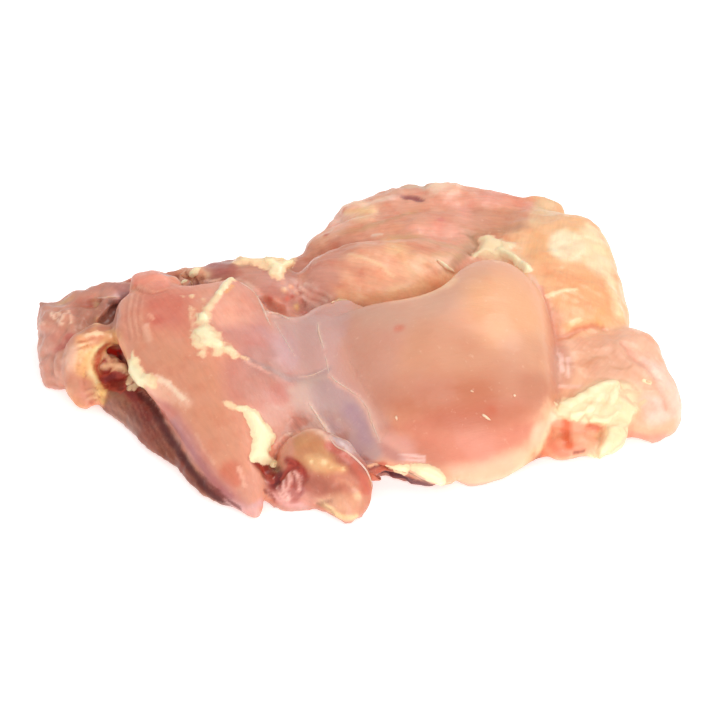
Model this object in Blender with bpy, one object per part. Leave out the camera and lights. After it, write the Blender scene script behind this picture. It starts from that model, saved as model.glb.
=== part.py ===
"""A raw, boneless and skinless chicken thigh, opened out and lying on its flat underside.

The meat is one solid. It is built from the muscles that make it up, each one a closed lobe, which
are grown together by a voxel remesh, given their fine unevenness, and cut flat where they lie.

Every lobe is drawn in millimetres on a thigh DRAWN_LENGTH long, +X to the right, +Y to the back,
+Z up, and is then scaled so that the real piece is THIGH_LENGTH long.
"""
import bpy
import bmesh
from math import copysign, cos, pi, sin
from random import Random
from mathutils import Vector

# Driving dimensions, in metres
THIGH_LENGTH = 0.128
VOXEL_SIZE = 0.0009
UNEVENNESS = 0.0007
GRAIN_SIZE = 0.006

# The drawing: its length, and the point of it that stands over the origin, in millimetres
DRAWN_LENGTH = 128.0
DRAWN_MIDDLE = (-1.6, 2.5)
SCALE = THIGH_LENGTH / DRAWN_LENGTH

# Resolution of the lobes and of the finished solid
RINGS = 16
SPOKES = 96
SMOOTH_PASSES = 9
TARGET_TRIANGLES = 10200

# The colour of the raw meat as a whole
MEAT_COLOUR = (0.78, 0.42, 0.29, 1.0)
MEAT_ROUGHNESS = 0.42
MEAT_SUBSURFACE = 0.25


def clear_scene():
    for thing in list(bpy.data.objects):
        bpy.data.objects.remove(thing)


def drawn(point):
    """A drawn point, in millimetres, as a vector in the part's own frame, in metres."""
    return Vector((point[0] - DRAWN_MIDDLE[0], point[1] - DRAWN_MIDDLE[1], point[2])) * SCALE


def spline(before, start, end, after, t):
    """The Catmull-Rom curve from start to end, at t from 0 to 1."""
    linear = end - before
    square = before * 2 - start * 5 + end * 4 - after
    cube = start * 3 - before - end * 3 + after
    return (start * 2 + linear * t + square * t * t + cube * t * t * t) * 0.5


def along(path, t):
    """The point at t, from 0 to 1, of an open smooth curve through the path's points."""
    spans = len(path) - 1
    place = min(max(t, 0.0), 1.0) * spans
    i = min(int(place), spans - 1)
    before = path[i - 1] if i > 0 else path[0] * 2 - path[1]
    after = path[i + 2] if i + 2 <= spans else path[spans] * 2 - path[spans - 1]
    return spline(before, path[i], path[i + 1], after, place - i)


def around(outline, steps):
    """Points spaced along a closed smooth curve through the outline's points."""
    count = len(outline)
    points = []
    for k in range(steps):
        place = k / steps * count
        i = int(place)
        corners = [outline[(i + shift) % count] for shift in (-1, 0, 1, 2)]
        points.append(spline(*corners, place - i))
    return points


def add_loops(meat, loops):
    """Skin a row of loops, whose first and last are single points, as one closed shell."""
    for near, far in zip(loops, loops[1:]):
        steps = max(len(near), len(far))
        for j in range(steps):
            corners = [near[j % len(near)], near[(j + 1) % len(near)],
                       far[(j + 1) % len(far)], far[j % len(far)]]
            meat.faces.new(list(dict.fromkeys(corners)))


def muscle(meat, path, width, height, blunt=2.8, square=2.2):
    """A spindle of meat that follows a path: half as wide and high as given, blunt at its ends."""
    points = [drawn(p) for p in path]
    loops = [[meat.verts.new(points[0])]]
    for k in range(1, 2 * RINGS):
        s = -cos(pi * k / (2 * RINGS))
        t = (s + 1) / 2
        heading = (along(points, t + 0.01) - along(points, t - 0.01)).normalized()
        side = Vector((0, 0, 1)).cross(heading).normalized()
        up = heading.cross(side)
        full = (1 - abs(s) ** blunt) ** 0.5
        ring = []
        for j in range(2 * RINGS):
            turn = pi * j / RINGS
            across = copysign(abs(cos(turn)) ** (2 / square), cos(turn)) * width * full
            rise = copysign(abs(sin(turn)) ** (2 / square), sin(turn)) * height * full
            offset = (side * across + up * rise) * SCALE
            ring.append(meat.verts.new(along(points, t) + offset))
        loops.append(ring)
    loops.append([meat.verts.new(points[-1])])
    add_loops(meat, loops)


def pillow(meat, centre, outline, up, down, plateau=3.0):
    """A rounded slab of meat inside a closed outline, swelling up and down from its waist."""
    middle = drawn(centre)
    rim = [point - middle for point in around([drawn(p) for p in outline], SPOKES)]
    soft = rim
    for _ in range(10):
        soft = [sum((soft[(j + shift) % SPOKES] for shift in range(-2, 3)), Vector()) / 5
                for j in range(SPOKES)]

    def layer(k, swell):
        reach = sin(pi / 2 * k / RINGS)
        full = (1 - reach ** plateau) ** 0.5 if k < RINGS else 0.0
        lift = Vector((0, 0, swell * full * SCALE))
        return [meat.verts.new(middle + inner.lerp(outer, reach ** 2) * reach + lift)
                for inner, outer in zip(soft, rim)]

    loops = [[meat.verts.new(middle + Vector((0, 0, up * SCALE)))]]
    loops += [layer(k, up) for k in range(1, RINGS)]
    loops += [layer(k, -down) for k in range(RINGS, 0, -1)]
    loops += [[meat.verts.new(middle - Vector((0, 0, down * SCALE)))]]
    add_loops(meat, loops)


def crumbs(meat, path, size, count, seed):
    """Small torn bits of meat along a path, each a short spindle that points its own way."""
    draw = Random(seed)
    points = [Vector(p) for p in path]
    for k in range(count):
        centre = along(points, (k + draw.random()) / count)
        way = Vector((draw.uniform(-1, 1), draw.uniform(-1, 1), draw.uniform(-0.4, 0.4)))
        way = way.normalized() * size * draw.uniform(0.7, 1.5)
        girth = size * draw.uniform(0.5, 0.9)
        muscle(meat, [centre - way, centre, centre + way], girth, girth * 0.8, blunt=2.2)


def under_layers(meat):
    """The broad sheet beneath, the flap below the left muscle and the low muscles at the left."""
    pillow(meat, (4, -1.5, 3), [
        (-56, 3.5, 2), (-40, -5.5, 2), (-30, -16, 2), (-23, -28, 2), (-16, -36, 2),
        (-10, -39, 2), (-4, -36, 2), (3, -24, 2), (12, -25, 2), (20, -31, 2), (30, -33, 2),
        (38, -27, 2), (53.5, -21.5, 2), (59, -14.5, 2), (54, 3, 2), (49, 22, 2), (44, 39, 2),
        (36, 48, 2), (15, 52, 2), (-3.5, 41, 2), (-13, 29, 2), (-33.5, 26, 2), (-57, 12, 2),
    ], up=8, down=4, plateau=5)
    pillow(meat, (14.5, 35.5, 7.5), [
        (-9.5, 28, 4), (-5, 41, 4), (4, 50, 4), (19.5, 54, 4), (36, 50, 5), (45, 42, 5),
        (47, 22, 5), (38, 11, 5), (16, 11.5, 4), (-2.5, 19.5, 4),
    ], up=9.4, down=6, plateau=4)
    pillow(meat, (-36.5, -20.5, 2.5), [
        (-52, -9, 3), (-50.8, -13.2, 1.4), (-46, -18.4, 1.2), (-41.4, -26.2, 1), (-36.2, -32, 1),
        (-31.6, -39.4, 1), (-26, -44.8, 1), (-20.5, -45, 1), (-19, -38, 2), (-27, -23, 3),
        (-35.5, -9, 3), (-44, -2.5, 3),
    ], up=3.6, down=2.6, plateau=3.2)
    muscle(meat, [(-60, 13, 4.6), (-44, 21, 5), (-26, 25.5, 5.4), (-9, 27, 5.6)],
           width=7, height=4.6, blunt=3)
    muscle(meat, [(-44, 15, 7), (-31, 22, 7.2), (-18, 23.5, 7.4)], width=5, height=3.6, blunt=3)
    muscle(meat, [(-20, 23.5, 5.6), (-14, 27, 6.4), (-8, 29, 7.4)], width=5, height=4.4, blunt=3)
    muscle(meat, [(-10, 33, 5), (-6, 39.5, 5.4), (-1, 45, 6.4)], width=4.2, height=4, blunt=3)
    muscle(meat, [(-19, -38, 2.2), (-10, -36, 2.2), (0, -31.5, 2.2), (12, -30, 2.2)], width=5,
           height=2.6, blunt=3)
    muscle(meat, [(-55, -5, 2), (-49, -6, 2.6), (-43, -9, 3)], width=3.6, height=2.6, blunt=3)


def far_left_end(meat):
    """The ragged end on the left: a slab with a rim round a hollow, and a curl folded over it."""
    pillow(meat, (-60, 3.5, 5.2), [
        (-65.4, 15.6, 7), (-65, 8, 5.6), (-63.8, 0, 3.6), (-62.4, -4.4, 1.8), (-59, -6.2, 1.4),
        (-55.5, -8, 1.6), (-54, -4, 4), (-55.5, 1.5, 6.8), (-54.5, 6, 8), (-54, 12, 8.8),
        (-60.5, 14, 7.4),
    ], up=3.2, down=5)
    muscle(meat, [(-65.3, 15.2, 6.2), (-61, 14.2, 6), (-57.5, 15.5, 7.4), (-53, 16.5, 8.8),
                  (-45, 16.5, 11)], width=3, height=2.8, blunt=4)
    crumbs(meat, [(-65, 15.6, 8.2), (-60.5, 14.6, 8), (-57, 16, 9.6), (-52, 17.4, 11.2)],
           1.1, 12, 31)
    crumbs(meat, [(-64.8, 11, 5), (-64.2, 4, 4), (-63, -2, 2.6), (-59.4, -6, 1.8)], 0.9, 9, 32)
    pillow(meat, (-51, 8, 3.5), [
        (-60, 16, 3), (-46, 21, 3), (-40, 8, 3), (-46, -2, 3), (-55, -3, 3), (-60, 5, 3),
    ], up=4.4, down=4, plateau=6)
    muscle(meat, [(-49, 15.5, 10.4), (-51, 12.5, 9.8), (-52.5, 9, 8.8)], width=1.6, height=1.4)
    muscle(meat, [(-53.6, 12.5, 9.8), (-52.4, 9.5, 9.6), (-53.4, 6.5, 8.8), (-54.6, 3, 8)],
           width=1.1, height=1.0, blunt=4)
    muscle(meat, [(-46.5, -1.5, 9.6), (-50, -0.6, 10.4), (-53.6, -1, 10.2), (-56, -4, 8.2),
                  (-56, -7.6, 5), (-54.4, -10.6, 2.8), (-53, -13.2, 1.2)],
           width=2.5, height=2.4, blunt=5)
    muscle(meat, [(-58.4, 0, 7), (-58.6, -3.6, 5), (-57.6, -6.6, 3)], width=2.2, height=2)
    muscle(meat, [(-50.5, -1.8, 8.2), (-52.6, -4.6, 7), (-52.4, -7.6, 4.6), (-53.4, -9.6, 3)],
           width=1.3, height=1.4, blunt=3)
    muscle(meat, [(-52.2, -3.2, 7), (-50.6, -3.4, 6.8), (-49.8, -4.8, 6)], width=0.9, height=0.9)
    muscle(meat, [(-49.4, -3.6, 5.6), (-47.6, -4.6, 5.8), (-46.4, -6.4, 5.4)],
           width=1.5, height=1.4)
    muscle(meat, [(-46.8, 10, 14.2), (-42, 10.6, 15.2), (-36, 10.4, 15)],
           width=3.4, height=2.4)


def left_muscle(meat):
    """The thick flap on the left, with a point in front, and the ridge and bits of fat behind it."""
    pillow(meat, (-29.5, -15.5, 13), [
        (-47, 8.2, 14), (-49.2, 3.5, 13), (-48.4, -4, 12.4), (-46, -10.5, 11.6),
        (-42, -18.5, 10.2), (-36.2, -26.5, 7.6), (-32.4, -33.8, 5.7), (-28.1, -41, 3.6),
        (-24.4, -45.4, 2.1), (-20.6, -48.6, 1.3), (-18.4, -49.2, 1.2), (-17.6, -47, 2.2),
        (-18, -42, 3.8), (-16.5, -35, 6),
        (-13.5, -28, 8.5), (-10.5, -21, 10.3), (-11.5, -13, 11.5), (-15, -5, 13),
        (-19, 4.2, 14.2), (-22, 8, 15.6), (-25, 9.8, 16.4), (-29, 9.6, 15.8), (-33, 9, 15.2),
        (-40, 9, 15.2),
    ], up=4.4, down=3.8, plateau=3.6)
    muscle(meat, [(-35, 17, 9.4), (-23.5, 17, 10.2), (-10.5, 11.5, 9.6)],
           width=7.5, height=5.6, blunt=3.2)
    crumbs(meat, [(-36.2, 17.5, 13), (-34, 17.5, 14.4), (-31.2, 16.5, 14.8)], 1.1, 9, 37)
    crumbs(meat, [(-25.6, 19, 15.4), (-21, 19.8, 15.8), (-17.6, 19.6, 16.2), (-13.6, 18.6, 15.4)],
           1.1, 12, 38)


def front_lobes(meat):
    """The folded lobes in front: a hood that slopes to a point, and a small lobe on its left."""
    pillow(meat, (-6.5, -41, 5), [
        (-15.8, -36, 5.5), (-13, -33, 7.5), (-8, -32.5, 8.5), (-2, -35.5, 7.5), (1.6, -40.5, 5),
        (2.2, -44, 2.8), (1.3, -46.6, 1.4), (0, -48.8, 0.9), (-3.2, -50, 0.9), (-7, -47, 1.4),
        (-9.6, -44.6, 3), (-14.2, -40.6, 4.6),
    ], up=4.4, down=4, plateau=3.2)
    pillow(meat, (-13.4, -45, 2.6), [
        (-18.2, -42.6, 3), (-16.8, -40, 4.4), (-13, -40.6, 5), (-10.4, -43, 4.4),
        (-7.8, -43.6, 2.2), (-9.6, -45.4, 0.9), (-13.6, -45.4, 0.9), (-16.8, -44, 1.2),
    ], up=2.4, down=2.4)
    muscle(meat, [(-19.5, -38, 2), (-16.5, -41, 2.6), (-14, -44, 2.2)], width=2.6, height=2.4)
    crumbs(meat, [(-17, -41.5, 5), (-14, -42.5, 5), (-11.5, -44, 4.4)], 0.7, 5, 33)


def dome(meat):
    """The large smooth muscle, the film-covered valley on its left and its lifted front edge."""
    pillow(meat, (15, -16, 10.5), [
        (-9.5, -5, 10), (-2.5, -1, 11.8), (8.5, 0.5, 12.3), (16, 4, 13.4), (21.5, 12, 15),
        (27, 14.6, 15.4), (32.5, 12, 15), (36.8, 3.5, 13.2), (37.2, -12.5, 11),
        (36.5, -23.5, 8), (32.5, -31.5, 4),
        (27, -37, 2.6), (20, -38.5, 2.4), (12, -34.5, 6), (4, -29.5, 8), (-4, -18.5, 9.5),
    ], up=12, down=9, plateau=2.8)
    pillow(meat, (-11, -10, 12.6), [
        (-20, 2.6, 13), (-14.5, 1.6, 12.8), (-11, 3.2, 12.6), (-7, 5.8, 13), (-2, 6.4, 13.8),
        (3, 0, 14.4), (5, -16, 13.5), (8, -27, 9),
        (3.5, -35, 6.2), (-1, -35.5, 5), (-4, -31, 6), (-9, -28, 9.5), (-14, -24, 11),
        (-17, -11, 13),
    ], up=2.8, down=8, plateau=2.6)
    pillow(meat, (-2, -12, 12.5), [
        (-13, 0, 12.6), (0, -1, 14.2), (8, -7, 15), (10, -18, 13.5), (7, -29, 9),
        (-1, -31, 7.5), (-8, -25, 10), (-13, -13, 12.6),
    ], up=5, down=6, plateau=2.2)
    pillow(meat, (10, -36, 5.4), [
        (0, -36, 6), (4.5, -31, 8), (11, -30, 9), (18, -34, 7), (19.5, -38, 4),
        (16.8, -40.4, 1.8), (13, -40.2, 3), (8.5, -39.6, 4.4), (4.5, -39, 5.4),
    ], up=0.9, down=0.9, plateau=4)
    muscle(meat, [(0.6, -39.6, 4.6), (2.6, -39.4, 3.6), (4.6, -38.6, 3)], width=0.9, height=0.9)
    muscle(meat, [(2.4, -34.6, 2.4), (8.4, -35.8, 2.2), (14.6, -38.6, 1.2)],
           width=1.8, height=1.8)
    muscle(meat, [(8.5, -38.8, 4.9), (13, -38.8, 3.9), (17, -39.7, 2.3)], width=1.8, height=1.1)


def valley(meat):
    """The low muscle between the front group and the rolls, seen from above and behind."""
    pillow(meat, (2, 11, 7), [
        (-40, 14, 7), (-25, 19, 7), (-5, 22, 7), (12, 24, 8), (27, 26, 9), (33, 18, 10),
        (26, 4, 10), (8, 0, 10), (-12, -1, 9), (-30, 4, 8),
    ], up=3.6, down=6)


def back_rolls(meat):
    """The three folded muscles that lie side by side along the back."""
    muscle(meat, [(-13, 14.5, 10), (-2, 17, 12.3), (10, 18.5, 12.8), (25, 29, 11)],
           width=9.5, height=6.6)
    muscle(meat, [(-12.5, 32.2, 6.4), (-4.6, 33, 9.4), (6, 33, 11), (18.5, 33.5, 12),
                  (38, 33, 11)], width=9, height=5.4, blunt=3)
    muscle(meat, [(-6, 42, 6.6), (1, 44.5, 9), (10, 46, 10.6), (23.5, 46.5, 11.2),
                  (41, 44, 10.6)], width=8.5, height=5.4, blunt=3.2)
    crumbs(meat, [(-13.4, 30, 9.2), (-9.4, 36, 10), (-6.6, 42.2, 10.2), (-3, 48, 11.4)],
           1.5, 14, 34)
    crumbs(meat, [(-2, 49.6, 11.6), (6, 51, 14), (13, 51.2, 15.3), (19, 50.8, 15.8)], 1.3, 13, 35)
    crumbs(meat, [(-6, 37.5, 12), (2, 40, 14), (10, 40.5, 15.5)], 1.0, 6, 36)
    muscle(meat, [(32, 46.5, 11.5), (38.5, 48.5, 11.8), (44, 46, 10.4)],
           width=3.6, height=2.2)


def right_side(meat):
    """The fat at the back right, the pale lobe in front of it and the lump of fat on that lobe."""
    pillow(meat, (43, 20, 9), [
        (30, 44, 11.6), (41, 45, 11.6), (49.6, 41, 10.8), (52.6, 31.5, 9), (54.2, 17.5, 7),
        (53.2, 5, 7.2), (45.5, -3.5, 9), (36, -4, 11), (31, 10, 12.5), (27, 30, 12.5),
    ], up=6, down=8, plateau=3)
    pillow(meat, (49.5, -11, 5.5), [
        (35, -4, 10), (45.5, 0, 8), (54.4, 5.4, 6.8), (58.8, 2, 5.8), (61, -7.5, 4.2),
        (62.4, -15, 3), (61.2, -20.5, 2), (56.4, -24, 1.6), (51.5, -23, 2.5),
        (45.5, -24, 3.5), (34, -20, 7.5),
    ], up=5.5, down=5)
    pillow(meat, (46, -21, 8.6), [
        (35.5, -25.5, 7.6), (39, -23, 9), (44, -18.5, 9.6), (49.5, -16, 9.2), (53, -17, 8.2),
        (52.5, -21.5, 7), (50, -25, 5.8), (45.5, -26, 5.8), (39, -26.5, 6),
    ], up=2, down=3, plateau=2.6)
    muscle(meat, [(49, -22.5, 6), (48, -26, 3.8), (45.5, -29, 2)], width=2.6, height=1.9)
    muscle(meat, [(35, -28.6, 2.2), (41, -27.4, 2.4), (46, -25.6, 2.4)], width=2.8, height=2.2,
           blunt=3)


def meat_material():
    material = bpy.data.materials.new("raw_meat")
    material.use_nodes = True
    surface = material.node_tree.nodes["Principled BSDF"]
    surface.inputs["Base Color"].default_value = MEAT_COLOUR
    surface.inputs["Roughness"].default_value = MEAT_ROUGHNESS
    surface.inputs["Metallic"].default_value = 0.0
    surface.inputs["Subsurface Weight"].default_value = MEAT_SUBSURFACE
    return material


def add_object(name, shape):
    """Turn a bmesh into a smooth-shaded object of that name."""
    bmesh.ops.recalc_face_normals(shape, faces=shape.faces)
    mesh = bpy.data.meshes.new(name)
    shape.to_mesh(mesh)
    shape.free()
    mesh.shade_smooth()
    thing = bpy.data.objects.new(name, mesh)
    bpy.context.scene.collection.objects.link(thing)
    return thing


def table_cutter():
    """A slab that reaches up to the height the thigh lies at, and takes off what is below it."""
    slab = bmesh.new()
    bmesh.ops.create_cube(slab, size=1.0)
    width = 2 * THIGH_LENGTH
    depth = 0.02
    bmesh.ops.scale(slab, vec=(width, width, depth), verts=slab.verts)
    bmesh.ops.translate(slab, vec=(0, 0, -depth / 2), verts=slab.verts)
    cutter = add_object("table_cutter", slab)
    cutter.hide_render = True
    cutter.display_type = "WIRE"
    return cutter


def grow_together(thigh):
    """Fuse the lobes, soften their seams and give the surface the unevenness of meat."""
    fuse = thigh.modifiers.new("fuse", "REMESH")
    fuse.mode = "VOXEL"
    fuse.voxel_size = VOXEL_SIZE
    soften = thigh.modifiers.new("soften", "SMOOTH")
    soften.factor = 0.5
    soften.iterations = SMOOTH_PASSES
    grain = bpy.data.textures.new("grain", "CLOUDS")
    grain.noise_scale = GRAIN_SIZE
    grain.noise_depth = 2
    uneven = thigh.modifiers.new("uneven", "DISPLACE")
    uneven.texture = grain
    uneven.strength = UNEVENNESS
    uneven.mid_level = 0.5


def thin_out(thigh):
    """Bring the fused mesh down to its target number of triangles."""
    graph = bpy.context.evaluated_depsgraph_get()
    fused = thigh.evaluated_get(graph).data
    triangles = sum(len(face.vertices) - 2 for face in fused.polygons)
    thin = thigh.modifiers.new("thin", "DECIMATE")
    thin.ratio = TARGET_TRIANGLES / triangles
    thin.use_collapse_triangulate = True


def lay_flat(thigh):
    """Cut the underside flat at z = 0, where the thigh lies."""
    cut = thigh.modifiers.new("lie_flat", "BOOLEAN")
    cut.operation = "DIFFERENCE"
    cut.object = table_cutter()


def main():
    clear_scene()
    meat = bmesh.new()
    under_layers(meat)
    far_left_end(meat)
    left_muscle(meat)
    front_lobes(meat)
    dome(meat)
    valley(meat)
    back_rolls(meat)
    right_side(meat)
    thigh = add_object("thigh", meat)
    thigh.data.materials.append(meat_material())
    grow_together(thigh)
    thin_out(thigh)
    lay_flat(thigh)


main()
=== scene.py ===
from math import copysign, cos, pi, radians, sin
from random import Random

import bmesh
import bpy
import numpy as np
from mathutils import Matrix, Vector, noise
from mathutils.bvhtree import BVHTree


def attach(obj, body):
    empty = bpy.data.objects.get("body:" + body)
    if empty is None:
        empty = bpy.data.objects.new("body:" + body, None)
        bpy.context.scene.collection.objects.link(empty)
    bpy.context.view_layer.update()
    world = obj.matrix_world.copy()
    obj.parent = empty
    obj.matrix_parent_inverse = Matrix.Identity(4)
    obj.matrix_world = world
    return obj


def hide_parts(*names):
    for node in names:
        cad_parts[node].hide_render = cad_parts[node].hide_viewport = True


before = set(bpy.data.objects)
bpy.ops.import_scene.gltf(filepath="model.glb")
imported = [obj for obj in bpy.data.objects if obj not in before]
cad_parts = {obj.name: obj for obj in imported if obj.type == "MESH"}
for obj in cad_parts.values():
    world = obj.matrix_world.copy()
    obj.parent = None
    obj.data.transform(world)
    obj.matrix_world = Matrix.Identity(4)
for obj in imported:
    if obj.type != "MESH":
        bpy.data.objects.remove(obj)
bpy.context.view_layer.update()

# The drawing, in millimetres, and its place in the part's own frame, in metres
DRAWN_LENGTH = 128.0
DRAWN_MIDDLE = Vector((-1.6, 2.5, 0.0))
THIGH_LENGTH = 0.128
SCALE = THIGH_LENGTH / DRAWN_LENGTH

# How square the muscles are across: 2 is an ellipse
SQUARENESS = 2.2

# Resolution of the lobes, and of the meat in millimetres
RINGS = 16
SPOKES = 96
RIM_PASSES = 10
BODY_VOXEL = 0.52
SMOOTH_PASSES = 26
LAST_PASSES = 2

# How far a lobe's tissue reaches past it, and how softly it gives way to the next, in millimetres
TISSUE_REACH = 2.5
TISSUE_BLEND = 0.7

# Fibres: how many times longer than wide their streaks are, their share of height, and how large
# plain mottling is where there are none
FIBRE_LENGTH = 9.0
FIBRE_RISE = 0.8
PLAIN_FIBRE = 0.5

# Relief of the meat, in millimetres: the sizes of its broad unevenness, its folds and its grain, how
# deep the grain is, how high and sharp the folds' crests are, and how far those wander
ROUGH_SIZE = 7.0
FOLD_SIZE = 3.0
GRAIN_SIZE = 1.6
GRAIN_DEPTH = 0.12
CREST_HEIGHT = 0.6
CREST_SHARPNESS = 2.0
CRUMPLE = 0.6

# A point counts as seen when nothing lies further in front of it than this, in millimetres
SEEN_MARGIN = 0.6

# Paint fades out at the border of what is seen, over this many passes of evening out
SEEN_PASSES = 8
SEEN_GAIN = 1.6
BARELY_SEEN = 0.02
MOSTLY_SEEN = 0.5

# The points that stand for a painted line are at most this far apart, in millimetres
LINE_GAP = 0.6

# Tissues: colour, how much it is smoothed, its broad unevenness and its folds in millimetres,
# the direction of its fibres in degrees, how much they show, and how wet it is
TISSUES = {
    "dome": ((232, 168, 136), 1.0, 0.10, 0.00, 15, 0.10, 0.45),
    "film": ((208, 158, 148), 1.0, 0.08, 0.00, -60, 0.10, 0.8),
    "left": ((232, 156, 128), 0.9, 0.20, 0.05, -62, 0.30, 0.5),
    "under": ((164, 104, 84), 0.6, 0.40, 0.20, -60, 1.00, 0.5),
    "low": ((206, 136, 116), 0.7, 0.60, 0.25, 10, 0.50, 0.5),
    "far": ((222, 158, 142), 0.3, 0.70, 0.60, 60, 0.40, 0.6),
    "torn": ((222, 156, 134), 0.2, 0.30, 0.30, 0, 0.20, 0.6),
    "ridge": ((186, 124, 110), 0.6, 0.50, 0.20, 0, 0.50, 0.5),
    "roll": ((232, 164, 134), 0.8, 0.45, 0.15, -20, 0.45, 0.5),
    "back": ((230, 162, 134), 0.6, 0.55, 0.20, 4, 0.45, 0.4),
    "front": ((206, 132, 106), 0.4, 0.40, 0.25, -70, 0.30, 0.7),
    "back_fat": ((247, 190, 142), 0.7, 0.50, 0.20, 80, 0.30, 0.6),
    "right": ((242, 184, 152), 0.7, 0.50, 0.20, 60, 0.30, 0.5),
    "lump": ((248, 222, 180), 0.4, 0.40, 0.30, 0, 0.20, 0.4),
    "curl": ((240, 176, 132), 0.3, 0.40, 0.35, 0, 0.30, 0.6),
    "edge": ((244, 204, 176), 0.3, 0.10, 0.05, 0, 0.20, 0.5),
}


def linear(colour):
    """A colour given from 0 to 255 as displayed, as linear light from 0 to 1."""
    shown = np.array(colour) / 255
    return np.where(shown <= 0.04045, shown / 12.92, ((shown + 0.055) / 1.055) ** 2.4)


# Lobes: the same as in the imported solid

LOBES = []


def spline(before, start, end, after, t):
    """The Catmull-Rom curve from start to end, at t from 0 to 1."""
    straight = end - before
    square = before * 2 - start * 5 + end * 4 - after
    cube = start * 3 - before - end * 3 + after
    return (start * 2 + straight * t + square * t * t + cube * t * t * t) * 0.5


def along(path, t):
    """The point at t, from 0 to 1, of an open smooth curve through the path's points."""
    spans = len(path) - 1
    place = min(max(t, 0.0), 1.0) * spans
    i = min(int(place), spans - 1)
    before = path[i - 1] if i > 0 else path[0] * 2 - path[1]
    after = path[i + 2] if i + 2 <= spans else path[spans] * 2 - path[spans - 1]
    return spline(before, path[i], path[i + 1], after, place - i)


def around(outline, steps):
    """Points spaced along a closed smooth curve through the outline's points."""
    count = len(outline)
    points = []
    for k in range(steps):
        place = k / steps * count
        i = int(place)
        corners = [outline[(i + shift) % count] for shift in (-1, 0, 1, 2)]
        points.append(spline(*corners, place - i))
    return points


def add_lobe(tissue, loops):
    """Skin a row of loops, whose first and last are single points, as one closed lobe."""
    points = [point for loop in loops for point in loop]
    faces = []
    start = 0
    for near, far in zip(loops, loops[1:]):
        after = start + len(near)
        for j in range(max(len(near), len(far))):
            corners = [start + j % len(near), start + (j + 1) % len(near),
                       after + (j + 1) % len(far), after + j % len(far)]
            faces.append(list(dict.fromkeys(corners)))
        start = after
    LOBES.append((tissue, points, faces))


def muscle(tissue, path, width, height, blunt=2.8):
    """A spindle of meat that follows a path: half as wide and high as given, blunt at its ends."""
    points = [Vector(p) for p in path]
    loops = [[points[0]]]
    for k in range(1, 2 * RINGS):
        s = -cos(pi * k / (2 * RINGS))
        t = (s + 1) / 2
        heading = (along(points, t + 0.01) - along(points, t - 0.01)).normalized()
        side = Vector((0, 0, 1)).cross(heading).normalized()
        up = heading.cross(side)
        full = (1 - abs(s) ** blunt) ** 0.5
        ring = []
        for j in range(2 * RINGS):
            turn = pi * j / RINGS
            across = copysign(abs(cos(turn)) ** (2 / SQUARENESS), cos(turn)) * width * full
            rise = copysign(abs(sin(turn)) ** (2 / SQUARENESS), sin(turn)) * height * full
            ring.append(along(points, t) + side * across + up * rise)
        loops.append(ring)
    loops.append([points[-1]])
    add_lobe(tissue, loops)


def pillow(tissue, centre, outline, up, down, plateau=3.0):
    """A rounded slab of meat inside a closed outline, swelling up and down from its waist."""
    middle = Vector(centre)
    rim = [point - middle for point in around([Vector(p) for p in outline], SPOKES)]
    soft = rim
    for _ in range(RIM_PASSES):
        soft = [sum((soft[(j + shift) % SPOKES] for shift in range(-2, 3)), Vector()) / 5
                for j in range(SPOKES)]

    def layer(k, swell):
        reach = sin(pi / 2 * k / RINGS)
        full = (1 - reach ** plateau) ** 0.5 if k < RINGS else 0.0
        return [middle + inner.lerp(outer, reach ** 2) * reach + Vector((0, 0, swell * full))
                for inner, outer in zip(soft, rim)]

    loops = [[middle + Vector((0, 0, up))]]
    loops += [layer(k, up) for k in range(1, RINGS)]
    loops += [layer(k, -down) for k in range(RINGS, 0, -1)]
    loops += [[middle - Vector((0, 0, down))]]
    add_lobe(tissue, loops)


def crumbs(tissue, path, size, count, seed):
    """Small torn bits of meat along a path, each a short spindle that points its own way."""
    draw = Random(seed)
    points = [Vector(p) for p in path]
    for k in range(count):
        centre = along(points, (k + draw.random()) / count)
        way = Vector((draw.uniform(-1, 1), draw.uniform(-1, 1), draw.uniform(-0.4, 0.4)))
        way = way.normalized() * size * draw.uniform(0.7, 1.5)
        girth = size * draw.uniform(0.5, 0.9)
        muscle(tissue, [centre - way, centre, centre + way], girth, girth * 0.8, blunt=2.2)


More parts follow.
